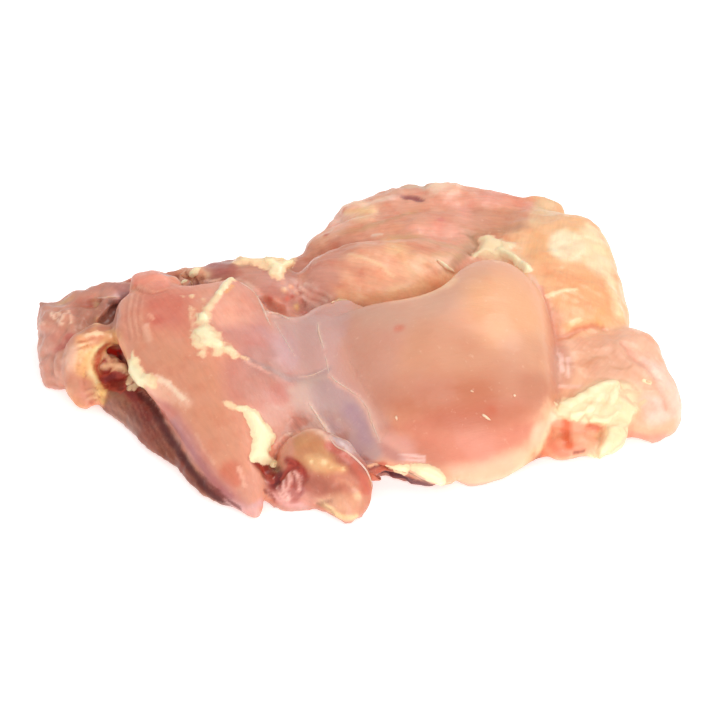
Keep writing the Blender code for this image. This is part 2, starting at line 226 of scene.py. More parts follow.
def under_layers():
    """The broad sheet beneath, the flap below the left muscle and the low muscles at the left."""
    pillow("under", (4, -1.5, 3), [
        (-56, 3.5, 2), (-40, -5.5, 2), (-30, -16, 2), (-23, -28, 2), (-16, -36, 2),
        (-10, -39, 2), (-4, -36, 2), (3, -24, 2), (12, -25, 2), (20, -31, 2), (30, -33, 2),
        (38, -27, 2), (53.5, -21.5, 2), (59, -14.5, 2), (54, 3, 2), (49, 22, 2), (44, 39, 2),
        (36, 48, 2), (15, 52, 2), (-3.5, 41, 2), (-13, 29, 2), (-33.5, 26, 2), (-57, 12, 2),
    ], up=8, down=4, plateau=5)
    pillow("back", (14.5, 35.5, 7.5), [
        (-9.5, 28, 4), (-5, 41, 4), (4, 50, 4), (19.5, 54, 4), (36, 50, 5), (45, 42, 5),
        (47, 22, 5), (38, 11, 5), (16, 11.5, 4), (-2.5, 19.5, 4),
    ], up=9.4, down=6, plateau=4)
    pillow("under", (-36.5, -20.5, 2.5), [
        (-52, -9, 3), (-50.8, -13.2, 1.4), (-46, -18.4, 1.2), (-41.4, -26.2, 1), (-36.2, -32, 1),
        (-31.6, -39.4, 1), (-26, -44.8, 1), (-20.5, -45, 1), (-19, -38, 2), (-27, -23, 3),
        (-35.5, -9, 3), (-44, -2.5, 3),
    ], up=3.6, down=2.6, plateau=3.2)
    muscle("low", [(-60, 13, 4.6), (-44, 21, 5), (-26, 25.5, 5.4), (-9, 27, 5.6)],
           width=7, height=4.6, blunt=3)
    muscle("low", [(-44, 15, 7), (-31, 22, 7.2), (-18, 23.5, 7.4)], width=5, height=3.6, blunt=3)
    muscle("low", [(-20, 23.5, 5.6), (-14, 27, 6.4), (-8, 29, 7.4)], width=5, height=4.4, blunt=3)
    muscle("low", [(-10, 33, 5), (-6, 39.5, 5.4), (-1, 45, 6.4)], width=4.2, height=4, blunt=3)
    muscle("under", [(-19, -38, 2.2), (-10, -36, 2.2), (0, -31.5, 2.2), (12, -30, 2.2)], width=5,
           height=2.6, blunt=3)
    muscle("under", [(-55, -5, 2), (-49, -6, 2.6), (-43, -9, 3)], width=3.6, height=2.6, blunt=3)


def far_left_end():
    """The ragged end on the left: a slab with a rim round a hollow, and a curl folded over it."""
    pillow("far", (-60, 3.5, 5.2), [
        (-65.4, 15.6, 7), (-65, 8, 5.6), (-63.8, 0, 3.6), (-62.4, -4.4, 1.8), (-59, -6.2, 1.4),
        (-55.5, -8, 1.6), (-54, -4, 4), (-55.5, 1.5, 6.8), (-54.5, 6, 8), (-54, 12, 8.8),
        (-60.5, 14, 7.4),
    ], up=3.2, down=5)
    muscle("far", [(-65.3, 15.2, 6.2), (-61, 14.2, 6), (-57.5, 15.5, 7.4), (-53, 16.5, 8.8),
                   (-45, 16.5, 11)], width=3, height=2.8, blunt=4)
    crumbs("torn", [(-65, 15.6, 8.2), (-60.5, 14.6, 8), (-57, 16, 9.6), (-52, 17.4, 11.2)],
           1.1, 12, 31)
    crumbs("torn", [(-64.8, 11, 5), (-64.2, 4, 4), (-63, -2, 2.6), (-59.4, -6, 1.8)], 0.9, 9, 32)
    pillow("far", (-51, 8, 3.5), [
        (-60, 16, 3), (-46, 21, 3), (-40, 8, 3), (-46, -2, 3), (-55, -3, 3), (-60, 5, 3),
    ], up=4.4, down=4, plateau=6)
    muscle("far", [(-49, 15.5, 10.4), (-51, 12.5, 9.8), (-52.5, 9, 8.8)], width=1.6, height=1.4)
    muscle("curl", [(-53.6, 12.5, 9.8), (-52.4, 9.5, 9.6), (-53.4, 6.5, 8.8), (-54.6, 3, 8)],
           width=1.1, height=1.0, blunt=4)
    muscle("curl", [(-46.5, -1.5, 9.6), (-50, -0.6, 10.4), (-53.6, -1, 10.2), (-56, -4, 8.2),
                    (-56, -7.6, 5), (-54.4, -10.6, 2.8), (-53, -13.2, 1.2)],
           width=2.5, height=2.4, blunt=5)
    muscle("curl", [(-58.4, 0, 7), (-58.6, -3.6, 5), (-57.6, -6.6, 3)], width=2.2, height=2)
    muscle("curl", [(-50.5, -1.8, 8.2), (-52.6, -4.6, 7), (-52.4, -7.6, 4.6), (-53.4, -9.6, 3)],
           width=1.3, height=1.4, blunt=3)
    muscle("curl", [(-52.2, -3.2, 7), (-50.6, -3.4, 6.8), (-49.8, -4.8, 6)], width=0.9, height=0.9)
    muscle("curl", [(-49.4, -3.6, 5.6), (-47.6, -4.6, 5.8), (-46.4, -6.4, 5.4)],
           width=1.5, height=1.4)
    muscle("back", [(-46.8, 10, 14.2), (-42, 10.6, 15.2), (-36, 10.4, 15)],
           width=3.4, height=2.4)


def left_muscle():
    """The thick flap on the left, with a point in front, and the ridge and bits of fat behind it."""
    pillow("left", (-29.5, -15.5, 13), [
        (-47, 8.2, 14), (-49.2, 3.5, 13), (-48.4, -4, 12.4), (-46, -10.5, 11.6),
        (-42, -18.5, 10.2), (-36.2, -26.5, 7.6), (-32.4, -33.8, 5.7), (-28.1, -41, 3.6),
        (-24.4, -45.4, 2.1), (-20.6, -48.6, 1.3), (-18.4, -49.2, 1.2), (-17.6, -47, 2.2),
        (-18, -42, 3.8), (-16.5, -35, 6),
        (-13.5, -28, 8.5), (-10.5, -21, 10.3), (-11.5, -13, 11.5), (-15, -5, 13),
        (-19, 4.2, 14.2), (-22, 8, 15.6), (-25, 9.8, 16.4), (-29, 9.6, 15.8), (-33, 9, 15.2),
        (-40, 9, 15.2),
    ], up=4.4, down=3.8, plateau=3.6)
    muscle("ridge", [(-35, 17, 9.4), (-23.5, 17, 10.2), (-10.5, 11.5, 9.6)],
           width=7.5, height=5.6, blunt=3.2)
    crumbs("lump", [(-36.2, 17.5, 13), (-34, 17.5, 14.4), (-31.2, 16.5, 14.8)], 1.1, 9, 37)
    crumbs("lump", [(-25.6, 19, 15.4), (-21, 19.8, 15.8), (-17.6, 19.6, 16.2), (-13.6, 18.6, 15.4)],
           1.1, 12, 38)


def front_lobes():
    """The folded lobes in front: a hood that slopes to a point, and a small lobe on its left."""
    pillow("front", (-6.5, -41, 5), [
        (-15.8, -36, 5.5), (-13, -33, 7.5), (-8, -32.5, 8.5), (-2, -35.5, 7.5), (1.6, -40.5, 5),
        (2.2, -44, 2.8), (1.3, -46.6, 1.4), (0, -48.8, 0.9), (-3.2, -50, 0.9), (-7, -47, 1.4),
        (-9.6, -44.6, 3), (-14.2, -40.6, 4.6),
    ], up=4.4, down=4, plateau=3.2)
    pillow("front", (-13.4, -45, 2.6), [
        (-18.2, -42.6, 3), (-16.8, -40, 4.4), (-13, -40.6, 5), (-10.4, -43, 4.4),
        (-7.8, -43.6, 2.2), (-9.6, -45.4, 0.9), (-13.6, -45.4, 0.9), (-16.8, -44, 1.2),
    ], up=2.4, down=2.4)
    muscle("front", [(-19.5, -38, 2), (-16.5, -41, 2.6), (-14, -44, 2.2)], width=2.6, height=2.4)
    crumbs("torn", [(-17, -41.5, 5), (-14, -42.5, 5), (-11.5, -44, 4.4)], 0.7, 5, 33)


def dome():
    """The large smooth muscle, the film-covered valley on its left and its lifted front edge."""
    pillow("dome", (15, -16, 10.5), [
        (-9.5, -5, 10), (-2.5, -1, 11.8), (8.5, 0.5, 12.3), (16, 4, 13.4), (21.5, 12, 15),
        (27, 14.6, 15.4), (32.5, 12, 15), (36.8, 3.5, 13.2), (37.2, -12.5, 11),
        (36.5, -23.5, 8), (32.5, -31.5, 4),
        (27, -37, 2.6), (20, -38.5, 2.4), (12, -34.5, 6), (4, -29.5, 8), (-4, -18.5, 9.5),
    ], up=12, down=9, plateau=2.8)
    pillow("film", (-11, -10, 12.6), [
        (-20, 2.6, 13), (-14.5, 1.6, 12.8), (-11, 3.2, 12.6), (-7, 5.8, 13), (-2, 6.4, 13.8),
        (3, 0, 14.4), (5, -16, 13.5), (8, -27, 9),
        (3.5, -35, 6.2), (-1, -35.5, 5), (-4, -31, 6), (-9, -28, 9.5), (-14, -24, 11),
        (-17, -11, 13),
    ], up=2.8, down=8, plateau=2.6)
    pillow("film", (-2, -12, 12.5), [
        (-13, 0, 12.6), (0, -1, 14.2), (8, -7, 15), (10, -18, 13.5), (7, -29, 9),
        (-1, -31, 7.5), (-8, -25, 10), (-13, -13, 12.6),
    ], up=5, down=6, plateau=2.2)
    pillow("dome", (10, -36, 5.4), [
        (0, -36, 6), (4.5, -31, 8), (11, -30, 9), (18, -34, 7), (19.5, -38, 4),
        (16.8, -40.4, 1.8), (13, -40.2, 3), (8.5, -39.6, 4.4), (4.5, -39, 5.4),
    ], up=0.9, down=0.9, plateau=4)
    muscle("front", [(0.6, -39.6, 4.6), (2.6, -39.4, 3.6), (4.6, -38.6, 3)], width=0.9, height=0.9)
    muscle("front", [(2.4, -34.6, 2.4), (8.4, -35.8, 2.2), (14.6, -38.6, 1.2)],
           width=1.8, height=1.8)
    muscle("edge", [(8.5, -38.8, 4.9), (13, -38.8, 3.9), (17, -39.7, 2.3)], width=1.8, height=1.1)


def valley():
    """The low muscle between the front group and the rolls, seen from above and behind."""
    pillow("ridge", (2, 11, 7), [
        (-40, 14, 7), (-25, 19, 7), (-5, 22, 7), (12, 24, 8), (27, 26, 9), (33, 18, 10),
        (26, 4, 10), (8, 0, 10), (-12, -1, 9), (-30, 4, 8),
    ], up=3.6, down=6)


def back_rolls():
    """The three folded muscles that lie side by side along the back."""
    muscle("roll", [(-13, 14.5, 10), (-2, 17, 12.3), (10, 18.5, 12.8), (25, 29, 11)],
           width=9.5, height=6.6)
    muscle("back", [(-12.5, 32.2, 6.4), (-4.6, 33, 9.4), (6, 33, 11), (18.5, 33.5, 12),
                    (38, 33, 11)], width=9, height=5.4, blunt=3)
    muscle("back", [(-6, 42, 6.6), (1, 44.5, 9), (10, 46, 10.6), (23.5, 46.5, 11.2),
                    (41, 44, 10.6)], width=8.5, height=5.4, blunt=3.2)
    crumbs("torn", [(-13.4, 30, 9.2), (-9.4, 36, 10), (-6.6, 42.2, 10.2), (-3, 48, 11.4)],
           1.5, 14, 34)
    crumbs("torn", [(-2, 49.6, 11.6), (6, 51, 14), (13, 51.2, 15.3), (19, 50.8, 15.8)], 1.3, 13, 35)
    crumbs("back", [(-6, 37.5, 12), (2, 40, 14), (10, 40.5, 15.5)], 1.0, 6, 36)
    muscle("back_fat", [(32, 46.5, 11.5), (38.5, 48.5, 11.8), (44, 46, 10.4)],
           width=3.6, height=2.2)


def right_side():
    """The fat at the back right, the pale lobe in front of it and the lump of fat on that lobe."""
    pillow("back_fat", (43, 20, 9), [
        (30, 44, 11.6), (41, 45, 11.6), (49.6, 41, 10.8), (52.6, 31.5, 9), (54.2, 17.5, 7),
        (53.2, 5, 7.2), (45.5, -3.5, 9), (36, -4, 11), (31, 10, 12.5), (27, 30, 12.5),
    ], up=6, down=8, plateau=3)
    pillow("right", (49.5, -11, 5.5), [
        (35, -4, 10), (45.5, 0, 8), (54.4, 5.4, 6.8), (58.8, 2, 5.8), (61, -7.5, 4.2),
        (62.4, -15, 3), (61.2, -20.5, 2), (56.4, -24, 1.6), (51.5, -23, 2.5),
        (45.5, -24, 3.5), (34, -20, 7.5),
    ], up=5.5, down=5)
    pillow("lump", (46, -21, 8.6), [
        (35.5, -25.5, 7.6), (39, -23, 9), (44, -18.5, 9.6), (49.5, -16, 9.2), (53, -17, 8.2),
        (52.5, -21.5, 7), (50, -25, 5.8), (45.5, -26, 5.8), (39, -26.5, 6),
    ], up=2, down=3, plateau=2.6)
    muscle("lump", [(49, -22.5, 6), (48, -26, 3.8), (45.5, -29, 2)], width=2.6, height=1.9)
    muscle("right", [(35, -28.6, 2.2), (41, -27.4, 2.4), (46, -25.6, 2.4)], width=2.8, height=2.2,
           blunt=3)


def draw_lobes():
    under_layers()
    far_left_end()
    left_muscle()
    front_lobes()
    dome()
    valley()
    back_rolls()
    right_side()


# Making meshes

def new_object(name, points, faces, material=None):
    mesh = bpy.data.meshes.new(name)
    mesh.from_pydata([tuple(p) for p in points], [], faces)
    mesh.update()
    thing = bpy.data.objects.new(name, mesh)
    bpy.context.scene.collection.objects.link(thing)
    if material:
        mesh.materials.append(material)
    return thing


def outward(thing):
    """Turn all faces of a closed mesh to point out of it."""
    shape = bmesh.new()
    shape.from_mesh(thing.data)
    bmesh.ops.recalc_face_normals(shape, faces=shape.faces)
    shape.to_mesh(thing.data)
    shape.free()


def fused(thing, voxel):
    """The closed shapes in an object grown together into one mesh of small even faces."""
    fuse = thing.modifiers.new("fuse", "REMESH")
    fuse.mode = "VOXEL"
    fuse.voxel_size = voxel
    graph = bpy.context.evaluated_depsgraph_get()
    mesh = bpy.data.meshes.new_from_object(thing.evaluated_get(graph))
    bpy.data.objects.remove(thing)
    return mesh


def drop_scraps(shape):
    """Delete what isn't joined to the largest piece of a mesh."""
    for vertex in shape.verts:
        vertex.tag = False
    pieces = []
    for start in shape.verts:
        if start.tag:
            continue
        start.tag = True
        piece = [start]
        for vertex in piece:
            for edge in vertex.link_edges:
                other = edge.other_vert(vertex)
                if not other.tag:
                    other.tag = True
                    piece.append(other)
        pieces.append(piece)
    pieces.sort(key=len)
    loose = [vertex for piece in pieces[:-1] for vertex in piece]
    bmesh.ops.delete(shape, geom=loose, context="VERTS")


def cut_flat(mesh):
    """Take off what is below the surface that the thigh lies on, and close the cut."""
    shape = bmesh.new()
    shape.from_mesh(mesh)
    everything = shape.verts[:] + shape.edges[:] + shape.faces[:]
    bmesh.ops.bisect_plane(shape, geom=everything, plane_co=(0, 0, 0), plane_no=(0, 0, 1),
                           clear_inner=True)
    rim = [edge for edge in shape.edges if edge.is_boundary]
    bmesh.ops.holes_fill(shape, edges=rim)
    bmesh.ops.triangulate(shape, faces=[face for face in shape.faces if len(face.verts) > 4])
    bmesh.ops.recalc_face_normals(shape, faces=shape.faces)
    drop_scraps(shape)
    shape.to_mesh(mesh)
    shape.free()


# The photograph's view, in millimetres: the camera looks at the drawing's origin

CAMERA_HEIGHT_ANGLE = radians(33.0)
CAMERA_DISTANCE = 480.0
FOCAL_PIXELS = 2400.0
FRAME_WIDTH = 720
SENSOR_WIDTH = 36.0
ORIGIN_COLUMN = 361.0
ORIGIN_ROW = 378.0
PIXELS_PER_MM = FOCAL_PIXELS / CAMERA_DISTANCE
OUTLINE_STEP = 3.0
LONGEST_STEP = 2.5

FORWARD = Vector((0, cos(CAMERA_HEIGHT_ANGLE), -sin(CAMERA_HEIGHT_ANGLE)))
UPWARD = Vector((0, sin(CAMERA_HEIGHT_ANGLE), cos(CAMERA_HEIGHT_ANGLE)))
EYE = -FORWARD * CAMERA_DISTANCE


def sight(column, row):
    """The direction in which a pixel of the photograph looks."""
    across = Vector((1, 0, 0)) * (column - ORIGIN_COLUMN)
    return (FORWARD * FOCAL_PIXELS + across + UPWARD * (ORIGIN_ROW - row)).normalized()


def pixels_of(points):
    """The columns and rows of the photograph at which points are seen."""
    away = points - np.array(EYE)
    depth = away @ np.array(FORWARD)
    columns = ORIGIN_COLUMN + FOCAL_PIXELS * away[:, 0] / depth
    rows = ORIGIN_ROW - FOCAL_PIXELS * (away @ np.array(UPWARD)) / depth
    return np.stack([columns, rows], axis=1)


def smoothstep(values):
    clipped = np.clip(values, 0.0, 1.0)
    return clipped * clipped * (3.0 - 2.0 * clipped)


def flat_curve(path, step):
    """Pixels spaced by about a step along a smooth curve through the path's pixels."""
    points = [Vector((*pixel, 0)) for pixel in path]
    length = sum((far - near).length for near, far in zip(points, points[1:]))
    count = max(2, int(length / step))
    return [along(points, k / count)[:2] for k in range(count + 1)]


def flat_loop(outline):
    """Evenly spaced pixels along a closed smooth curve through the outline's pixels."""
    points = [Vector((*pixel, 0)) for pixel in outline]
    length = sum((far - near).length for near, far in zip(points, points[1:] + points[:1]))
    return np.array([point[:2] for point in around(points, max(12, int(length / OUTLINE_STEP)))])


def depth_inside(pixels, loop):
    """How far pixels lie inside a closed loop, or outside it where negative."""
    inside = np.zeros(len(pixels), dtype=bool)
    nearest = np.full(len(pixels), np.inf)
    for start, end in zip(loop, np.roll(loop, -1, axis=0)):
        side = end - start
        if side @ side == 0:
            continue
        away = pixels - start
        share = np.clip(away @ side / (side @ side), 0.0, 1.0)
        nearest = np.minimum(nearest, np.linalg.norm(away - share[:, None] * side, axis=1))
        spans = (start[1] > pixels[:, 1]) != (end[1] > pixels[:, 1])
        with np.errstate(divide="ignore", invalid="ignore"):
            crossing = start[0] + side[0] * (pixels[:, 1] - start[1]) / side[1]
        inside ^= spans & (pixels[:, 0] < crossing)
    return np.where(inside, nearest, -nearest)


class Surface:
    """What the camera sees of a mesh, so that places in the photograph can be found on it."""

    def __init__(self, points, faces):
        self.tree = BVHTree.FromPolygons(points, faces)
        self.last = CAMERA_DISTANCE

    def at(self, column, row):
        """The point and outward direction of the surface seen at a pixel, or the nearest to it."""
        direction = sight(column, row)
        point, outward_way, _, distance = self.tree.ray_cast(EYE, direction)
        if point is None:
            point, outward_way, _, _ = self.tree.find_nearest(EYE + direction * self.last)
        else:
            self.last = distance
        return point, outward_way

    def trace(self, path, step=1.5):
        """Points and outward directions along a path of pixels, which stays on the same form."""
        places = []
        for pixel in flat_curve(path, step):
            place = self.at(*pixel)
            if places and (place[0] - places[-1][0]).length > LONGEST_STEP:
                beside = EYE + sight(*pixel) * (places[-1][0] - EYE).length
                point, outward_way, _, gap = self.tree.find_nearest(beside)
                if gap < LONGEST_STEP:
                    place = point, outward_way
            places.append(place)
        return places


def spread(points, gap):
    """The points of a line, thinned or filled in so that they are about a gap apart."""
    line = [np.array(points[0])]
    for start, end in zip(points, points[1:]):
        start = np.array(start)
        end = np.array(end)
        count = max(1, int(np.linalg.norm(end - start) / gap))
        line += [start + (end - start) * (k + 1) / count for k in range(count)]
    return np.array(line)


# Layers are held as their depth in millimetres: above 0 inside them, below 0 outside, no lower
# than their reach. The material turns each into a crisp ragged cover: its colour where it is thin and
# where it is deep, then the size of its tears, how far they move its edge and how soft that is.
LAYERS = {
    # The dark layer is painted shade, laid in gaps, holes and cracks, darkest where deep.
    "dark": ((112, 48, 50), (60, 20, 32), 1.2, 0.15, 0.2),
    "blood": ((190, 76, 58), (128, 24, 18), 1.4, 0.35, 0.3),
    "thin_fat": ((242, 190, 150), (248, 218, 174), 1.2, 0.5, 0.25),
    "fat": ((250, 218, 174), (252, 237, 194), 1.0, 0.4, 0.10),
}
LAYER_REACH = 2.0
DEEP = 0.9

# Size of the ragged edges of paint and layers, in millimetres
RAGGED_SIZE = 1.6


class Skin:
    """A mesh as arrays: its points in millimetres, and what its brushes have put on them."""

    def __init__(self, mesh):
        self.mesh = mesh
        count = len(mesh.vertices)
        flat = np.empty(count * 3)
        mesh.vertices.foreach_get("co", flat)
        self.points = flat.reshape(count, 3)
        ends = np.empty(len(mesh.edges) * 2, dtype=np.int64)
        mesh.edges.foreach_get("vertices", ends)
        self.ends = ends.reshape(-1, 2)
        self.tint = np.zeros((count, 3))
        self.lift = np.zeros(count)
        self.wet = np.zeros(count)
        self.grain = np.zeros(count)
        self.fibre = np.zeros((count, 3))
        self.layers = {name: np.full(count, -LAYER_REACH) for name in LAYERS}

    def averaged(self, values, passes, strength):
        """Values evened out between neighbours, by a strength that may differ between points."""
        count = len(self.points)
        near, far = self.ends.T
        neighbours = np.bincount(self.ends.ravel(), minlength=count)
        strength = np.broadcast_to(strength, count) * 0.5
        for _ in range(passes):
            total = np.bincount(near, values[far], count) + np.bincount(far, values[near], count)
            values = values + (total / neighbours - values) * strength
        return values

    def smooth(self, passes, strength):
        columns = [self.averaged(self.points[:, axis], passes, strength) for axis in range(3)]
        self.points = np.stack(columns, axis=1)

    def normals(self):
        self.mesh.vertices.foreach_set("co", self.points.ravel())
        self.mesh.update()
        flat = np.empty(len(self.points) * 3)
        self.mesh.vertex_normals.foreach_get("vector", flat)
        return flat.reshape(-1, 3)

    def apply_lift(self):
        self.points = self.points + self.normals() * self.lift[:, None]
        self.lift = np.zeros(len(self.points))

    def surface(self):
        self.normals()
        faces = [tuple(face.vertices) for face in self.mesh.polygons]
        return Surface([Vector(p) for p in self.points], faces)

    def prepare(self, surface):
        """Note which points the camera sees, and where, before brushes are used."""
        self.pixels = pixels_of(self.points)
        self.ragged = clouds(self.points, RAGGED_SIZE, seed=3, octaves=2)
        shown = np.zeros(len(self.points))
        away = self.points - np.array(EYE)
        distances = np.linalg.norm(away, axis=1)
        facing = np.sum(self.normals() * away, axis=1) < 0
        for i in np.flatnonzero(facing):
            _, _, _, reached = surface.tree.ray_cast(EYE, Vector(away[i]))
            if reached is not None and reached > distances[i] - SEEN_MARGIN:
                shown[i] = 1.0
        self.shown = np.clip(self.averaged(shown, SEEN_PASSES, 1.0) * SEEN_GAIN, 0.0, 1.0)

    def around(self, line, reach):
        """The points within reach of a line, in millimetres, and how far from it they are."""
        line = spread(line, min(reach * 0.3, LINE_GAP))
        inside = np.all((self.points > line.min(axis=0) - reach)
                        & (self.points < line.max(axis=0) + reach), axis=1)
        chosen = np.flatnonzero(inside)
        away = np.full(len(chosen), np.inf)
        for place in line:
            away = np.minimum(away, np.linalg.norm(self.points[chosen] - place, axis=1))
        return chosen, away

    def near(self, line, width, soft, ragged):
        """Which points lie within a width of a line, in millimetres, and how strongly."""
        chosen, away = self.around(line, width * 1.5)
        away = away / width + self.ragged[chosen] * ragged
        return chosen, smoothstep((1.0 - away) / soft)

    def cover(self, layer, chosen, depth, lift, rim):
        """Add a layer to the chosen points, raised by a lift that is full at a depth of rim."""
        values = self.layers[layer]
        values[chosen] = np.maximum(values[chosen], depth)
        self.lift[chosen] += smoothstep(depth / rim) * lift

    def within(self, outline, soft, ragged):
        """Which points that the camera sees lie inside an outline in pixels, and how strongly."""
        loop = flat_loop(outline)
        margin = soft + ragged
        inside = np.all((self.pixels > loop.min(axis=0) - margin)
                        & (self.pixels < loop.max(axis=0) + margin), axis=1)
        chosen = np.flatnonzero(inside & (self.shown > BARELY_SEEN))
        depth = depth_inside(self.pixels[chosen], loop) + self.ragged[chosen] * ragged
        return chosen, smoothstep(0.5 + 0.5 * depth / soft) * self.shown[chosen]

    def dye(self, chosen, weight, colour, strength=1.0, lift=0.0, wet=None):
        """Move the chosen points' colour, height and wetness towards the given ones."""
        amount = weight * strength
        self.tint[chosen] += (linear(colour) - self.tint[chosen]) * amount[:, None]
        self.lift[chosen] += weight * lift
        if wet is not None:
            self.wet[chosen] += (wet - self.wet[chosen]) * weight

    def finish(self, name, material):
        """Place the mesh in the part's frame, in metres, as an object that rides with the meat."""
        placed = (self.points - np.array(DRAWN_MIDDLE)) * SCALE
        self.mesh.vertices.foreach_set("co", placed.ravel())
        rgba = np.ones((len(placed), 4))
        rgba[:, :3] = self.tint
        for label, kind, key, values in (("tint", "FLOAT_COLOR", "color", rgba),
                                         ("wet", "FLOAT", "value", self.wet),
                                         ("grain", "FLOAT", "value", self.grain),
                                         ("fibre", "FLOAT_VECTOR", "vector", self.fibre)):
            layer = self.mesh.attributes.new(label, kind, "POINT")
            layer.data.foreach_set(key, np.ascontiguousarray(values).ravel())
        for label, values in self.layers.items():
            layer = self.mesh.attributes.new(label, "FLOAT", "POINT")
            layer.data.foreach_set("value", values)
        self.mesh.update()
        self.mesh.shade_smooth()
        self.mesh.materials.clear()
        self.mesh.materials.append(material)
        thing = bpy.data.objects.new(name, self.mesh)
        bpy.context.scene.collection.objects.link(thing)
        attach(thing, "root")
        return thing


def clouds(points, size, seed, octaves):
    """Smooth noise of about -1 to 1 at the points, with features of the given size."""
    shift = Vector((seed * 17.3, seed * 7.9, seed * 29.1))
    return np.array([noise.fractal(Vector(p) / size + shift, 1.0, 2.0, octaves) for p in points])


def grow_body():
    """The meat: all lobes grown together into one mesh and cut flat underneath."""
    draw_lobes()
    points = []
    faces = []
    for _, lobe_points, lobe_faces in LOBES:
        base = len(points)
        points += lobe_points
        faces += [[base + i for i in face] for face in lobe_faces]
    lobes = new_object("lobes", points, faces)
    outward(lobes)
    mesh = fused(lobes, BODY_VOXEL)
    cut_flat(mesh)
    return Skin(mesh)


def nearest_lobes(skin):
    """How strongly each lobe counts at each point: full on its own surface, less away from it."""
    weights = np.zeros((len(LOBES), len(skin.points)))
    for row, (_, lobe_points, lobe_faces) in enumerate(LOBES):
        corners = np.array([tuple(p) for p in lobe_points])
        inside = np.all((skin.points > corners.min(axis=0) - TISSUE_REACH)
                        & (skin.points < corners.max(axis=0) + TISSUE_REACH), axis=1)
        tree = BVHTree.FromPolygons(lobe_points, lobe_faces)
        for i in np.flatnonzero(inside):
            _, _, _, away = tree.find_nearest(skin.points[i], TISSUE_REACH)
            if away is not None:
                weights[row, i] = np.exp(-(away / TISSUE_BLEND) ** 2) + 1e-6
    return weights


def set_tissues(skin):
    """Colour, smoothness, unevenness, fibres and wetness of each point, from its tissues."""
    weights = nearest_lobes(skin)
    total = weights.sum(axis=0)
    lost = total == 0
    weights[0, lost] = 1.0
    total[lost] = 1.0
    weights = weights / total
    kinds = [TISSUES[tissue] for tissue, _, _ in LOBES]
    skin.tint = weights.T @ np.array([linear(kind[0]) for kind in kinds])
    skin.soften = weights.T @ np.array([kind[1] for kind in kinds])
    skin.rough = weights.T @ np.array([kind[2] for kind in kinds])
    skin.folds = weights.T @ np.array([kind[3] for kind in kinds])
    skin.grain = weights.T @ np.array([kind[5] for kind in kinds])
    skin.wet = weights.T @ np.array([kind[6] for kind in kinds])
    strongest = weights.argmax(axis=0)
    turns = np.radians(np.array([kind[4] for kind in kinds]))[strongest]
    x, y, z = skin.points.T
    run = x * np.cos(turns) + y * np.sin(turns)
    across = y * np.cos(turns) - x * np.sin(turns)
    skin.fibre = np.stack([run / FIBRE_LENGTH, across, z * FIBRE_RISE], axis=1)


# Brushes, which take places in the photograph's pixels and widths in millimetres

class Painter:
    """Brushes for one mesh, with what the camera sees of it."""

    def __init__(self, skin, surface):
        self.skin = skin
        self.surface = surface

    def stroke(self, path, width, colour, strength=1.0, lift=0.0, wet=None, soft=0.7,
               ragged=0.25):
        """Paint within a width of a line, in millimetres."""
        line = [point for point, _ in self.surface.trace(path)]
        chosen, weight = self.skin.near(line, width, soft, ragged)
        self.skin.dye(chosen, weight, colour, strength, lift, wet)

    def dab(self, place, width, colour, strength=1.0, lift=0.0, wet=None, soft=1.0, ragged=0.3):
        """Paint round one place."""
        self.stroke([place, place], width, colour, strength, lift, wet, soft, ragged)

    def fill(self, outline, colour, strength=1.0, lift=0.0, wet=None, soft=4.0, ragged=1.5):
        """Paint inside an outline, with an edge as soft and as ragged as given in pixels."""
        chosen, weight = self.skin.within(outline, soft, ragged)
        self.skin.dye(chosen, weight, colour, strength, lift, wet)

    def lay(self, layer, outline, lift=0.0, rim=0.8, ragged=0.5):
        """Add a layer inside an outline in pixels."""
        skin = self.skin
        loop = flat_loop(outline)
        margin = LAYER_REACH * PIXELS_PER_MM
        inside = np.all((skin.pixels > loop.min(axis=0) - margin)
                        & (skin.pixels < loop.max(axis=0) + margin), axis=1)
        chosen = np.flatnonzero(inside & (skin.shown > MOSTLY_SEEN))
        depth = depth_inside(skin.pixels[chosen], loop) / PIXELS_PER_MM
        depth += skin.ragged[chosen] * ragged
        skin.cover(layer, chosen, depth, lift, rim)

    def draw(self, layer, path, width, lift=0.0, ragged=0.25):
        """Add a layer within a width of a line, in millimetres."""
        skin = self.skin
        line = [point for point, _ in self.surface.trace(path)]
        chosen, away = skin.around(line, width + LAYER_REACH)
        depth = width - away + skin.ragged[chosen] * ragged
        skin.cover(layer, chosen, depth, lift, width)

    def make(self, marks):
        """Make the marks of a table, in their order."""
        for entry in marks.values():
            alike = entry if isinstance(entry, list) else [entry]
            for kind, settings, options in alike:
                getattr(self, kind)(*settings, **options)


# Marks: uses of a brush, noted down in tables until the meat is painted. A table holds the marks of
# one part by name, in their order: the path or outline in pixels of the photograph, the width in
# millimetres, the colour as displayed, the strength, the lift in millimetres and the wetness. Marks
# that are alike share an entry. Layers come after the paint that they cover.

def noted(kind):
    """A function that notes down one use of a kind of brush."""
    return lambda *settings, **options: (kind, settings, options)


stroke, dab, fill, lay, draw = (noted(kind) for kind in ("stroke", "dab", "fill", "lay", "draw"))
